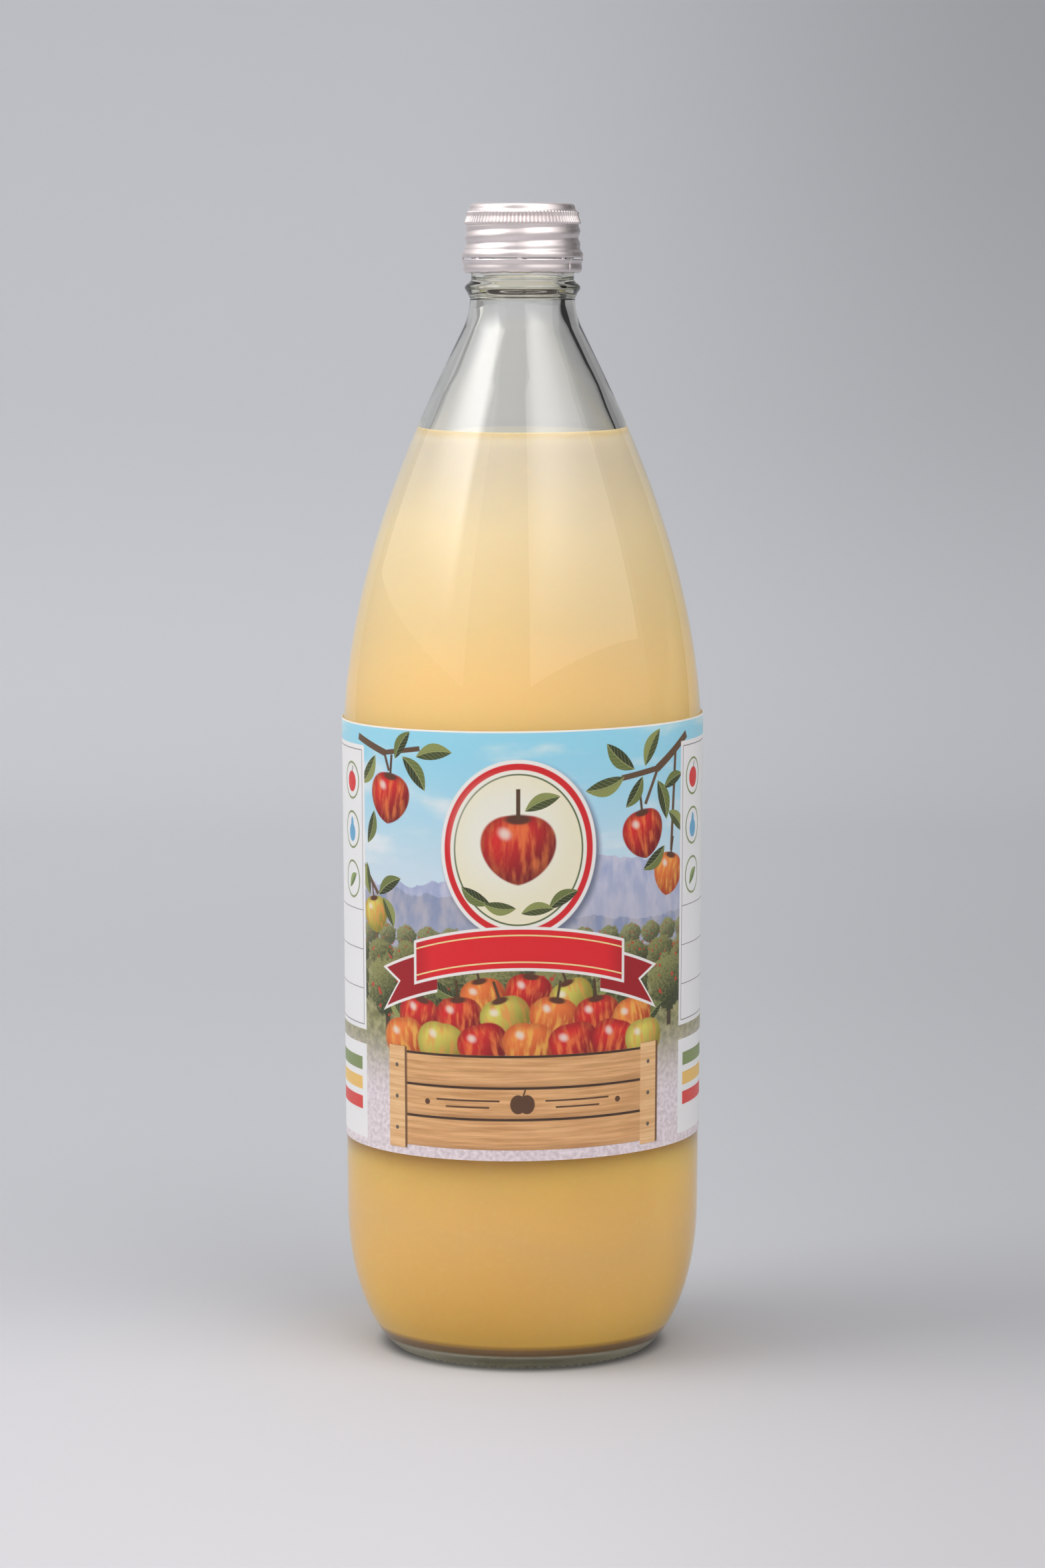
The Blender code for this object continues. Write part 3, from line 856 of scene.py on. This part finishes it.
def curve_points(start, start_handle, end_handle, end, steps):
    """Points (radius, height) along a cubic curve, both ends included."""
    points = []
    for step in range(steps + 1):
        t = step / steps
        weights = ((1 - t) ** 3, 3 * (1 - t) ** 2 * t, 3 * (1 - t) * t * t, t**3)
        corners = (start, start_handle, end_handle, end)
        points.append(tuple(sum(w * c[axis] for w, c in zip(weights, corners)) for axis in (0, 1)))
    return points


def line_points(start, end, steps):
    """Evenly spaced points (radius, height) from start up to, and without, the end."""
    return [
        tuple(start[axis] + (end[axis] - start[axis]) * step / steps for axis in (0, 1))
        for step in range(steps)
    ]


def body_radius(height):
    """Outer radius of the slightly tapered wall between heel and shoulder."""
    share = (height - HEEL_HEIGHT) / (BELLY_HEIGHT - HEEL_HEIGHT)
    return HEEL_RADIUS + (BELLY_RADIUS - HEEL_RADIUS) * share


def moved_in(outline, inset):
    """Each point of an outline that runs upwards, moved square to it towards the axis."""
    moved = []
    for index, (radius, height) in enumerate(outline):
        before = outline[max(index - 1, 0)]
        after = outline[min(index + 1, len(outline) - 1)]
        run = after[0] - before[0]
        rise = after[1] - before[1]
        length = math.hypot(run, rise)
        moved.append((radius - inset * rise / length, height + inset * run / length))
    return moved


def wall_outline(inset):
    """The wall from the bearing ring to the neck, moved inwards by the inset."""
    lean = math.atan(CONE_SLOPE)
    heel = curve_points(
        (BEARING_RADIUS, 0.0),
        (BEARING_RADIUS + HEEL_FOOT_PULL, 0.0),
        (HEEL_RADIUS, HEEL_HEIGHT - HEEL_WALL_PULL),
        (HEEL_RADIUS, HEEL_HEIGHT),
        28,
    )
    body = line_points((HEEL_RADIUS, HEEL_HEIGHT), (BELLY_RADIUS, BELLY_HEIGHT), 6)[1:]
    cone_end = (CONE_RADIUS + SHOULDER_PULL * math.sin(lean), CONE_HEIGHT - SHOULDER_PULL * math.cos(lean))
    shoulder = curve_points(
        (BELLY_RADIUS, BELLY_HEIGHT),
        (BELLY_RADIUS, BELLY_HEIGHT + SHOULDER_PULL),
        cone_end,
        (CONE_RADIUS, CONE_HEIGHT),
        36,
    )
    fillet_start = NECK_RADIUS + NECK_FILLET * (1 - math.cos(lean))
    fillet_height = CONE_HEIGHT + (CONE_RADIUS - fillet_start) / CONE_SLOPE
    centre = (NECK_RADIUS + NECK_FILLET, fillet_height + NECK_FILLET * math.sin(lean))
    fillet = arc_points(centre, NECK_FILLET + inset, 180.0 + math.degrees(lean), 180.0, 12)
    return moved_in(heel + body + shoulder, inset) + fillet


def underside_outline():
    """The pushed-up base from its centre out to the bearing ring."""
    ring_inside = BEARING_RADIUS - BEARING_WIDTH
    dome = curve_points(
        (DOME_MIDDLE * ring_inside, DOME_RISE * PUSH_UP),
        (DOME_RISE * ring_inside, DOME_RISE * PUSH_UP),
        (ring_inside, DOME_MIDDLE * PUSH_UP),
        (ring_inside, 0.0),
        8,
    )
    ring = line_points((ring_inside, 0.0), (BEARING_RADIUS, 0.0), 3)[1:]
    return [(0.0, PUSH_UP), (DOME_MIDDLE * ring_inside / 2, PUSH_UP)] + dome + ring


def bead_outline():
    """The transfer bead below the cap, and the plain finish up to the mouth."""
    lower_flank = curve_points(
        (NECK_RADIUS + 0.25, BEAD_FOOT_HEIGHT),
        (NECK_RADIUS + 0.3, BEAD_FOOT_HEIGHT + 0.8),
        (BEAD_RADIUS - 0.3, BEAD_HEIGHT - 0.9),
        (BEAD_RADIUS, BEAD_HEIGHT - 0.15),
        8,
    )
    upper_flank = curve_points(
        (BEAD_RADIUS, BEAD_HEIGHT + 0.1),
        (BEAD_RADIUS - 0.15, BEAD_HEIGHT + 1.1),
        (COLLAR_RADIUS + 0.2, BEAD_TOP_HEIGHT - 0.7),
        (COLLAR_RADIUS, BEAD_TOP_HEIGHT),
        8,
    )
    lip_centre = (COLLAR_RADIUS - LIP_ROUNDING, FINISH_TOP - LIP_ROUNDING)
    return [
        (NECK_RADIUS, BEAD_FOOT_HEIGHT - 0.1),
        *lower_flank,
        *upper_flank,
        *line_points((COLLAR_RADIUS, BEAD_TOP_HEIGHT), (COLLAR_RADIUS, FINISH_TOP - LIP_ROUNDING), 6)[1:],
        *arc_points(lip_centre, LIP_ROUNDING, 0.0, 90.0, 5),
        (MOUTH_RADIUS + 0.5, FINISH_TOP),
        (MOUTH_RADIUS, FINISH_TOP - 0.5),
        *line_points((MOUTH_RADIUS, FINISH_TOP - 1.5), (NECK_RADIUS - GLASS_WALL, BEAD_HEIGHT), 5),
    ]


def cavity_outline(inset):
    """The hollow from the middle of its floor up to the neck, at this depth in the wall."""
    wall = wall_outline(inset)
    floor_height = FLOOR_THICKNESS + inset - GLASS_WALL
    upright = [point for point in wall if point[1] > floor_height + FLOOR_CORNER]
    corner_radius = upright[0][0]
    corner = curve_points(
        (corner_radius - 2 * FLOOR_CORNER, floor_height),
        (corner_radius - FLOOR_CORNER / 2, floor_height),
        (corner_radius - FLOOR_CORNER / 4, floor_height + FLOOR_CORNER / 4),
        upright[0],
        12,
    )
    floor_centre = (0.0, floor_height + FLOOR_CROWN)
    floor_middle = (corner_radius / 2, floor_height + FLOOR_CROWN / 2)
    return [floor_centre, floor_middle] + corner[:-1] + upright


def strip(low, high, columns, around, flipped=False):
    """Faces in these columns between two rows of points, given the number of each row's first."""
    faces = []
    for column in columns:
        following = (column + 1) % around
        a, b, c, d = (low + column, low + following, high + following, high + column)
        faces.append((a, d, c, b) if flipped else (a, b, c, d))
    return faces


def fan(row, pole, around, flipped=False):
    """Faces from a closed row of points to the point in its middle."""
    faces = []
    for column in range(around):
        edge = (row + column, row + (column + 1) % around)
        faces.append((*reversed(edge), pole) if flipped else (*edge, pole))
    return faces


def turned_mesh(name, outline, columns, shift=None):
    """A smooth solid of revolution; shift may move each point as (radius, angle, height)."""
    vertices = []
    for row, (radius, height) in enumerate(outline[1:-1]):
        for column in range(columns):
            angle = 2.0 * math.pi * column / columns
            r, z = shift(row, radius, angle, height) if shift else (radius, height)
            vertices.append((*polar(r, angle), z))
    pole = len(vertices)
    faces = fan(0, pole, columns, flipped=True)
    for low in range(0, pole - columns, columns):
        faces += strip(low, low + columns, range(columns), columns)
    faces += fan(pole - columns, pole + 1, columns)
    poles = [(0.0, 0.0, outline[end][1]) for end in (0, -1)]
    return new_object(name, vertices + poles, faces)


def new_object(name, vertices, faces, sharp_degrees=None):
    mesh = bpy.data.meshes.new(name)
    scaled = [tuple(value * MILLIMETRE for value in vertex) for vertex in vertices]
    mesh.from_pydata(scaled, [], faces)
    mesh.shade_smooth()
    if sharp_degrees is not None:
        mesh.set_sharp_from_angle(angle=math.radians(sharp_degrees))
    mesh.update()
    item = bpy.data.objects.new(name, mesh)
    bpy.context.scene.collection.objects.link(item)
    return item


def dress(item, material, node):
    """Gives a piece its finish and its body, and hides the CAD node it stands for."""
    item.data.materials.append(material)
    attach(item, "root")
    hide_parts(node)


def make_bottle():
    """The glass, with bumps under its bearing ring and a slightly uneven inner neck."""
    outside = underside_outline() + wall_outline(0.0)[:-1] + bead_outline()
    inside = list(reversed(cavity_outline(GLASS_WALL)))
    outside_rows = len(outside) - 1

    def uneven(row, radius, angle, height):
        if row >= outside_rows:
            share = smooth(height, DRINK_LEVEL + 2.0, DRINK_LEVEL + 12.0)
            wave = math.sin(3 * angle + 0.22 * height) + math.sin(5 * angle - 0.5 * height + 1.0)
            return (radius + INNER_WAVE * share * wave / 2, height)
        near_ring = radius > BEARING_RADIUS - BEARING_WIDTH - 0.01 and height < 2.0
        if near_ring:
            gap = 0.5 - 0.5 * math.cos(STIPPLE_COUNT * angle)
            return (radius, height + STIPPLE_HEIGHT * gap * (1.0 - smooth(height, 0.5, 2.0)))
        return (radius, height)

    bottle = turned_mesh("bottle", outside + inside, GLASS_COLUMNS, uneven)
    dress(bottle, glass_material(), "bottle_glass")


def make_drink():
    """The juice, reaching just into the wall, with a flat open top."""
    cavity = cavity_outline(GLASS_WALL - DRINK_REACH)
    below = [point for point in cavity if point[1] < DRINK_LEVEL]
    above = cavity[len(below)]
    last = below[-1]
    share = (DRINK_LEVEL - last[1]) / (above[1] - last[1])
    rim = last[0] + (above[0] - last[0]) * share
    top = [(radius, DRINK_LEVEL) for radius in (rim, rim - 0.05, rim / 2, 0.0)]
    drink = turned_mesh("drink", below + top, DRINK_COLUMNS)
    dress(drink, drink_material(), "juice")
    drink.data.materials.append(drink_surface_material())
    drink.data.materials.append(drink_foot_material())
    for face in drink.data.polygons:
        height = face.center.z / MILLIMETRE
        radius = math.hypot(face.center.x, face.center.y) / MILLIMETRE
        if face.normal.z > 0.9 and height > DRINK_LEVEL - 1.0:
            face.material_index = 1
        # The underside's rim takes the foot's painted light and shade
        elif face.normal.z < -0.3 and height < DRINK_FOOT_HEIGHT and radius > DRINK_FOOT_RADIUS:
            face.material_index = 2


def label_points():
    """Points of the sheet's back, then its front, row by row, and each one's place on the print."""
    turn = 2.0 * math.pi
    overlap = LABEL_OVERLAP / BELLY_RADIUS
    start = math.radians(FRONT_DEGREES) - math.pi - overlap / 2
    sweep = turn + overlap
    rise = BELLY_RADIUS * math.tan(math.radians(LABEL_TILT_DEGREES))
    vertices = []
    places = []
    for side in (0, 1):
        for row in range(LABEL_ROWS + 1):
            height = LABEL_BOTTOM + (LABEL_TOP - LABEL_BOTTOM) * row / LABEL_ROWS
            for column in range(LABEL_COLUMNS + 1):
                along = column / LABEL_COLUMNS
                angle = start + sweep * along
                lift = rise * math.cos(angle)
                over = (LABEL_THICKNESS + LABEL_CLEARANCE) * smooth(sweep * along, turn - 0.15, turn - 0.02)
                radius = body_radius(height) + LABEL_CLEARANCE + over + LABEL_THICKNESS * side
                vertices.append((*polar(radius, angle), height + lift))
                places.append((along, row / LABEL_ROWS))
    return vertices, places


def label_faces(sheet):
    """Faces of the sheet's two sides and four edges; sheet is the count of points of one side."""
    width = LABEL_COLUMNS + 1
    columns = range(LABEL_COLUMNS)
    faces = strip(0, sheet, columns, width)
    for low in range(0, LABEL_ROWS * width, width):
        high = low + width
        faces += strip(low, high, columns, width, flipped=True)
        faces += strip(sheet + low, sheet + high, columns, width)
        faces.append((low, low + sheet, high + sheet, high))
        low_end = low + LABEL_COLUMNS
        high_end = high + LABEL_COLUMNS
        faces.append((low_end + sheet, low_end, high_end, high_end + sheet))
    return faces + strip(LABEL_ROWS * width, LABEL_ROWS * width + sheet, columns, width, flipped=True)


def print_label(label, places, sheet):
    """Gives each face of the front the material of the print's area that it lies in."""
    areas = print_areas()
    for number, area in enumerate(areas, start=1):
        label.data.materials.append(printed_material(f"print_{number}", area))
    for face in label.data.polygons:
        corners = [places[vertex] for vertex in face.vertices]
        x = (sum(corner[0] for corner in corners) / 4 - 0.5) * PRINT_LENGTH
        y = sum(corner[1] for corner in corners) / 4 * PRINT_HEIGHT
        if all(vertex >= sheet for vertex in face.vertices):
            face.material_index = 1 + next(n for n, area in enumerate(areas) if near(area, x, y, 0.001))


def make_label():
    """A paper band whose ends overlap at the back, with one side slightly higher."""
    vertices, places = label_points()
    sheet = len(vertices) // 2
    label = new_object("label_paper", vertices, label_faces(sheet), sharp_degrees=40.0)
    layer = label.data.uv_layers.new(name="print")
    for loop in label.data.loops:
        layer.data[loop.index].uv = places[loop.vertex_index]
    dress(label, paper_material(), "label")
    print_label(label, places, sheet)


def cap_outside():
    """Outline of the cap's outer side, from the tamper band's edge up to the crown."""
    return [
        (13.2, BAND_EDGE),
        *curve_points((13.5, BAND_EDGE), (14.1, 262.8), (14.38, 263.2), (14.4, 263.8), 5),
        *curve_points((14.36, 264.3), (14.25, 264.7), (14.25, 264.9), (14.45, 265.4), 4),
        (14.66, 265.65),
        (14.68, 265.85),
        (14.6, SLIT_BOTTOM),
        (14.5, SLIT_TOP),
        (FLANGE_RADIUS, 266.55),
        *curve_points((FLANGE_RADIUS + 0.02, 266.8), (14.65, 267.4), (14.5, 267.7), (14.2, 268.0), 5),
        *line_points((SKIRT_RADIUS + 0.05, 268.3), (SKIRT_RADIUS, 274.0), 22),
        *line_points((SKIRT_RADIUS - 0.1, 274.0), (KNURL_BOTTOM_RADIUS, KNURL_BOTTOM), 5),
        *line_points((KNURL_BOTTOM_RADIUS, KNURL_BOTTOM), (KNURL_TOP_RADIUS, KNURL_TOP), 12),
        *curve_points((KNURL_TOP_RADIUS, KNURL_TOP), (12.95, 277.75), (12.82, 277.9), (12.78, 278.1), 4),
        *curve_points((12.72, 278.35), (12.65, 279.1), (12.2, CAP_TOP), (11.4, CAP_TOP), 8),
    ]


def thread_depth(angle, height):
    """How far the rolled groove is pressed in; it rises to the right."""
    turns = (math.degrees(angle) - FRONT_DEGREES) / 360.0
    crest = THREAD_FRONT_CREST + THREAD_PITCH / 2 + turns * THREAD_PITCH
    offset = (height - crest) / THREAD_PITCH
    distance = abs(offset - round(offset)) * THREAD_PITCH
    press = math.exp(-((distance / THREAD_HALF_WIDTH) ** 2))
    fade = smooth(height, THREAD_BOTTOM - 0.5, THREAD_BOTTOM + 0.6)
    return THREAD_GROOVE * press * fade * (1.0 - smooth(height, THREAD_TOP - 0.2, THREAD_TOP + 0.5))


def knurled_radius(radius, angle, height):
    """The skirt's top with its teeth: rounded flutes whose lower ends are scalloped."""
    wave = 0.5 - 0.5 * math.cos(KNURL_COUNT * angle)
    flute = wave**1.5
    tooth_foot = KNURL_BOTTOM - SCALLOP_HEIGHT * (1.0 - wave)
    under = SKIRT_RADIUS - 0.35
    share = smooth(height, tooth_foot - 0.12, tooth_foot + 0.12)
    toothed = max(radius, under) - KNURL_DEPTH * flute * (1.0 - smooth(height, KNURL_TOP - 0.35, KNURL_TOP))
    return under + (toothed - under) * share


def cap_surface(radius, angle, height):
    """Outer radius and height of the cap at a point of its outline and an angle."""
    if 268.2 < height < 274.0:
        radius -= thread_depth(angle, height)
    elif 274.0 <= height < KNURL_TOP:
        knurl_radius = KNURL_BOTTOM_RADIUS + (KNURL_TOP_RADIUS - KNURL_BOTTOM_RADIUS) * max(
            (height - KNURL_BOTTOM) / (KNURL_TOP - KNURL_BOTTOM), 0.0
        )
        radius = knurled_radius(knurl_radius, angle, height)
    front_angle = math.degrees(angle) - FRONT_DEGREES
    if height < SLIT_BOTTOM and abs(front_angle - SCORE_DEGREES) < 0.6:
        radius -= SCORE_DEPTH
    if height < BAND_EDGE + 0.6:
        height += 0.06 * math.sin(9 * angle) + 0.04 * math.sin(23 * angle + 1.0)
    return radius, height


def cap_inside():
    """Outline of the cap's plain inner side, from the band's edge up to the crown."""
    return [
        (12.95, BAND_EDGE + 0.25),
        (14.0, 263.5),
        (13.95, 264.8),
        (14.3, SLIT_BOTTOM),
        (14.25, SLIT_TOP),
        (14.3, 267.0),
        (13.3, 268.3),
        (13.2, 274.5),
        (12.4, 278.2),
        (11.2, CAP_TOP - CAP_WALL),
    ]


def cap_points(outer, inner):
    """Points of the cap's two sides, row by row, then the middles of its crown."""
    step_angle = 2.0 * math.pi / CAP_COLUMNS
    vertices = []
    for outline in (outer, inner):
        for radius, height in outline:
            for column in range(CAP_COLUMNS):
                angle = math.radians(FRONT_DEGREES) - math.pi + column * step_angle
                r, z = cap_surface(radius, angle, height) if outline is outer else (radius, height)
                vertices.append((*polar(r, angle), z))
    return vertices + [(0.0, 0.0, CAP_TOP), (0.0, 0.0, CAP_TOP - CAP_WALL)]


def in_slit(column):
    """Whether a column of the cap's faces lies in a slit, not in a bridge between two."""
    sector = 360.0 / BRIDGE_COUNT
    middle = (column + 0.5) * 360.0 / CAP_COLUMNS - 180.0 - BRIDGE_OFFSET_DEGREES
    from_bridge = abs((middle + sector / 2) % sector - sector / 2)
    return from_bridge > BRIDGE_DEGREES / 2


def cap_strip(low_row, high_row, flipped, columns):
    """Faces between two rows of the cap's points, in these columns."""
    return strip(low_row * CAP_COLUMNS, high_row * CAP_COLUMNS, columns, CAP_COLUMNS, flipped)


def bridge_sides(outer_slit, inner_slit):
    """Faces of the bridges' ends, which look into the slits."""
    faces = []
    for column in range(CAP_COLUMNS):
        before = (column - 1) % CAP_COLUMNS
        if in_slit(column) != in_slit(before):
            a = outer_slit * CAP_COLUMNS + column
            b = inner_slit * CAP_COLUMNS + column
            c = b + CAP_COLUMNS
            d = a + CAP_COLUMNS
            faces.append((a, b, c, d) if in_slit(column) else (d, c, b, a))
    return faces


def make_cap():
    """The rolled shell: outer side with its relief, inner side plain, slits between bridges."""
    outer = cap_outside()
    inner = cap_inside()
    everywhere = range(CAP_COLUMNS)
    slits = [column for column in everywhere if in_slit(column)]
    bridges = [column for column in everywhere if not in_slit(column)]
    outer_slit = [height for _, height in outer].index(SLIT_BOTTOM)
    inner_start = len(outer)
    inner_slit = inner_start + [height for _, height in inner].index(SLIT_BOTTOM)
    inner_last = inner_start + len(inner) - 1
    faces = []
    for row in range(inner_start - 1):
        faces += cap_strip(row, row + 1, False, bridges if row == outer_slit else everywhere)
    for row in range(inner_start, inner_last):
        faces += cap_strip(row, row + 1, True, bridges if row == inner_slit else everywhere)
    faces += cap_strip(0, inner_start, True, everywhere)
    faces += cap_strip(outer_slit, inner_slit, False, slits)
    faces += cap_strip(outer_slit + 1, inner_slit + 1, True, slits)
    faces += bridge_sides(outer_slit, inner_slit)
    crown = (inner_last + 1) * CAP_COLUMNS
    faces += fan((inner_start - 1) * CAP_COLUMNS, crown, CAP_COLUMNS)
    faces += fan(inner_last * CAP_COLUMNS, crown + 1, CAP_COLUMNS, flipped=True)
    cap = new_object("cap_shell", cap_points(outer, inner), faces, sharp_degrees=60.0)
    dress(cap, cap_material(), "cap")


def backdrop_material():
    """Pale paper, cooler up the wall, with painted light and shade: darker up the wall, a little brighter on
    the sweep, darker away from the lamp, and a painted contact shadow where the bottle stands.
    """
    nodes = Nodes("backdrop_paper")
    place = nodes.position()
    across, deep, height = nodes.split(place)
    # Painted shade: the wall is darker than the floor, as well as cooler
    back = nodes.step(deep, -0.25, 0.2)
    paper = nodes.mix(back, (0.612, 0.604, 0.632, 1.0), (0.5, 0.513, 0.542, 1.0))
    # Painted light and shade: a little brighter on the sweep and darker higher up
    lift = nodes.step(height, 0.02, 0.2, 1.0, 0.9)
    sweep = nodes.times(nodes.step(deep, 0.5, 1.1, 1.0, 1.13), lift)
    # Painted shade: darker to the right, away from the key lamp, more so up the wall
    sideways = nodes.math("DIVIDE", across, nodes.plus(deep, 1.1))
    depth = nodes.step(height, 0.0, 0.4, 0.15, 0.32)
    falloff = nodes.times(nodes.step(sideways, -0.03, 0.13), depth)
    share = nodes.times(sweep, nodes.minus(1.0, falloff))
    # Painted contact shadow on the floor around the bottle's foot
    under = nodes.rise(nodes.from_axis(place), *SHADOW_RING, 0.3, 1.0)
    share = nodes.times(share, under)
    colour = nodes.add("VectorMath", {0: paper, "Scale": share}, operation="SCALE").outputs[0]
    inputs = {"Base Color": colour, "Roughness": 0.9, "Specular IOR Level": 0.1}
    return nodes.output(nodes.principled(inputs))


def make_backdrop():
    """A seamless sheet: floor in front, a round sweep behind, and a wall."""
    depth = 1500.0
    sweep = 500.0
    half_width = 1250.0
    front = -2600.0
    rows = [(front, 0.0), (depth - sweep, 0.0)]
    for step in range(1, 17):
        angle = math.pi / 2 * step / 16
        rows.append((depth - sweep + sweep * math.sin(angle), sweep - sweep * math.cos(angle)))
    rows.append((depth, 2600.0))
    vertices = [(x, y, z) for y, z in rows for x in (-half_width, half_width)]
    faces = [(low, low + 1, low + 3, low + 2) for low in range(0, 2 * len(rows) - 2, 2)]
    backdrop = new_object("backdrop", vertices, faces)
    backdrop.data.materials.append(backdrop_material())


def panel_material(name, dim, bright, rise, axis, band):
    """A soft lamp panel, brighter above and inside a band along the given axis (metres)."""
    nodes = Nodes(name)
    parts = nodes.split(nodes.position())
    upper = nodes.step(parts[2], *rise)
    opening = nodes.step(parts[axis], band[0], band[1])
    closing = nodes.step(parts[axis], band[2], band[3], 1.0, 0.0)
    share = nodes.times(upper, nodes.times(opening, closing))
    strength = nodes.plus(nodes.times(share, bright - dim), dim)
    glow = nodes.add("Emission", {"Color": (1.0, 0.985, 0.975, 1.0), "Strength": strength})
    return nodes.output(glow.outputs[0])


def plain_material(name, brightness, glow=0.0):
    """A matt panel that may glow."""
    nodes = Nodes(name)
    inputs = {
        "Base Color": (brightness, brightness, brightness, 1.0),
        "Roughness": 1.0,
        "Specular IOR Level": 0.0,
        "Emission Color": (1.0, 0.99, 0.98, 1.0),
        "Emission Strength": glow,
    }
    return nodes.output(nodes.principled(inputs))


def make_panel(name, corners, material):
    """A flat panel out of the camera's view; its corners are in millimetres."""
    panel = new_object(name, corners, [(0, 1, 2, 3)])
    panel.data.materials.append(material)
    panel.visible_camera = False


def upright(start, end, low, high):
    """Corners of an upright panel over the floor line from start to end."""
    return [(*start, low), (*end, low), (*end, high), (*start, high)]


def make_lights():
    """A large soft key on the left, a weaker one on the right, one overhead and a dark flag."""
    key = panel_material("key_lamp", 0.8, 5.5, (0.7, 1.9), 1, (-1.6, -1.15, -0.3, 0.9))
    fill = panel_material("fill_lamp", 1.3, 3.4, (0.7, 1.8), 0, (0.2, 0.9, 1.0, 2.0))
    make_panel("key_panel", upright((-1900.0, -2350.0), (-1900.0, 1600.0), 560.0, 3200.0), key)
    make_panel("fill_panel", upright((230.0, -2600.0), (2100.0, -170.0), 560.0, 3200.0), fill)
    corners = ((-1300.0, -1500.0), (1300.0, -1500.0), (1300.0, 900.0), (-1300.0, 900.0))
    overhead = [(x, y, 2700.0) for x, y in corners]
    make_panel("overhead_panel", overhead, plain_material("overhead_lamp", 0.5, 1.2))
    flag = upright((2050.0, 0.0), (1300.0, 1600.0), 0.0, 3000.0)
    make_panel("flag", flag, plain_material("black_cloth", 0.02))
    world = bpy.data.worlds.new("studio")
    bpy.context.scene.world = world
    world.use_nodes = True
    background = world.node_tree.nodes["Background"]
    background.inputs["Color"].default_value = (0.3, 0.3, 0.31, 1.0)
    background.inputs["Strength"].default_value = 1.0


bpy.context.scene.view_settings.view_transform = "Standard"
add_camera()
make_backdrop()
make_lights()
make_bottle()
make_drink()
make_label()
make_cap()
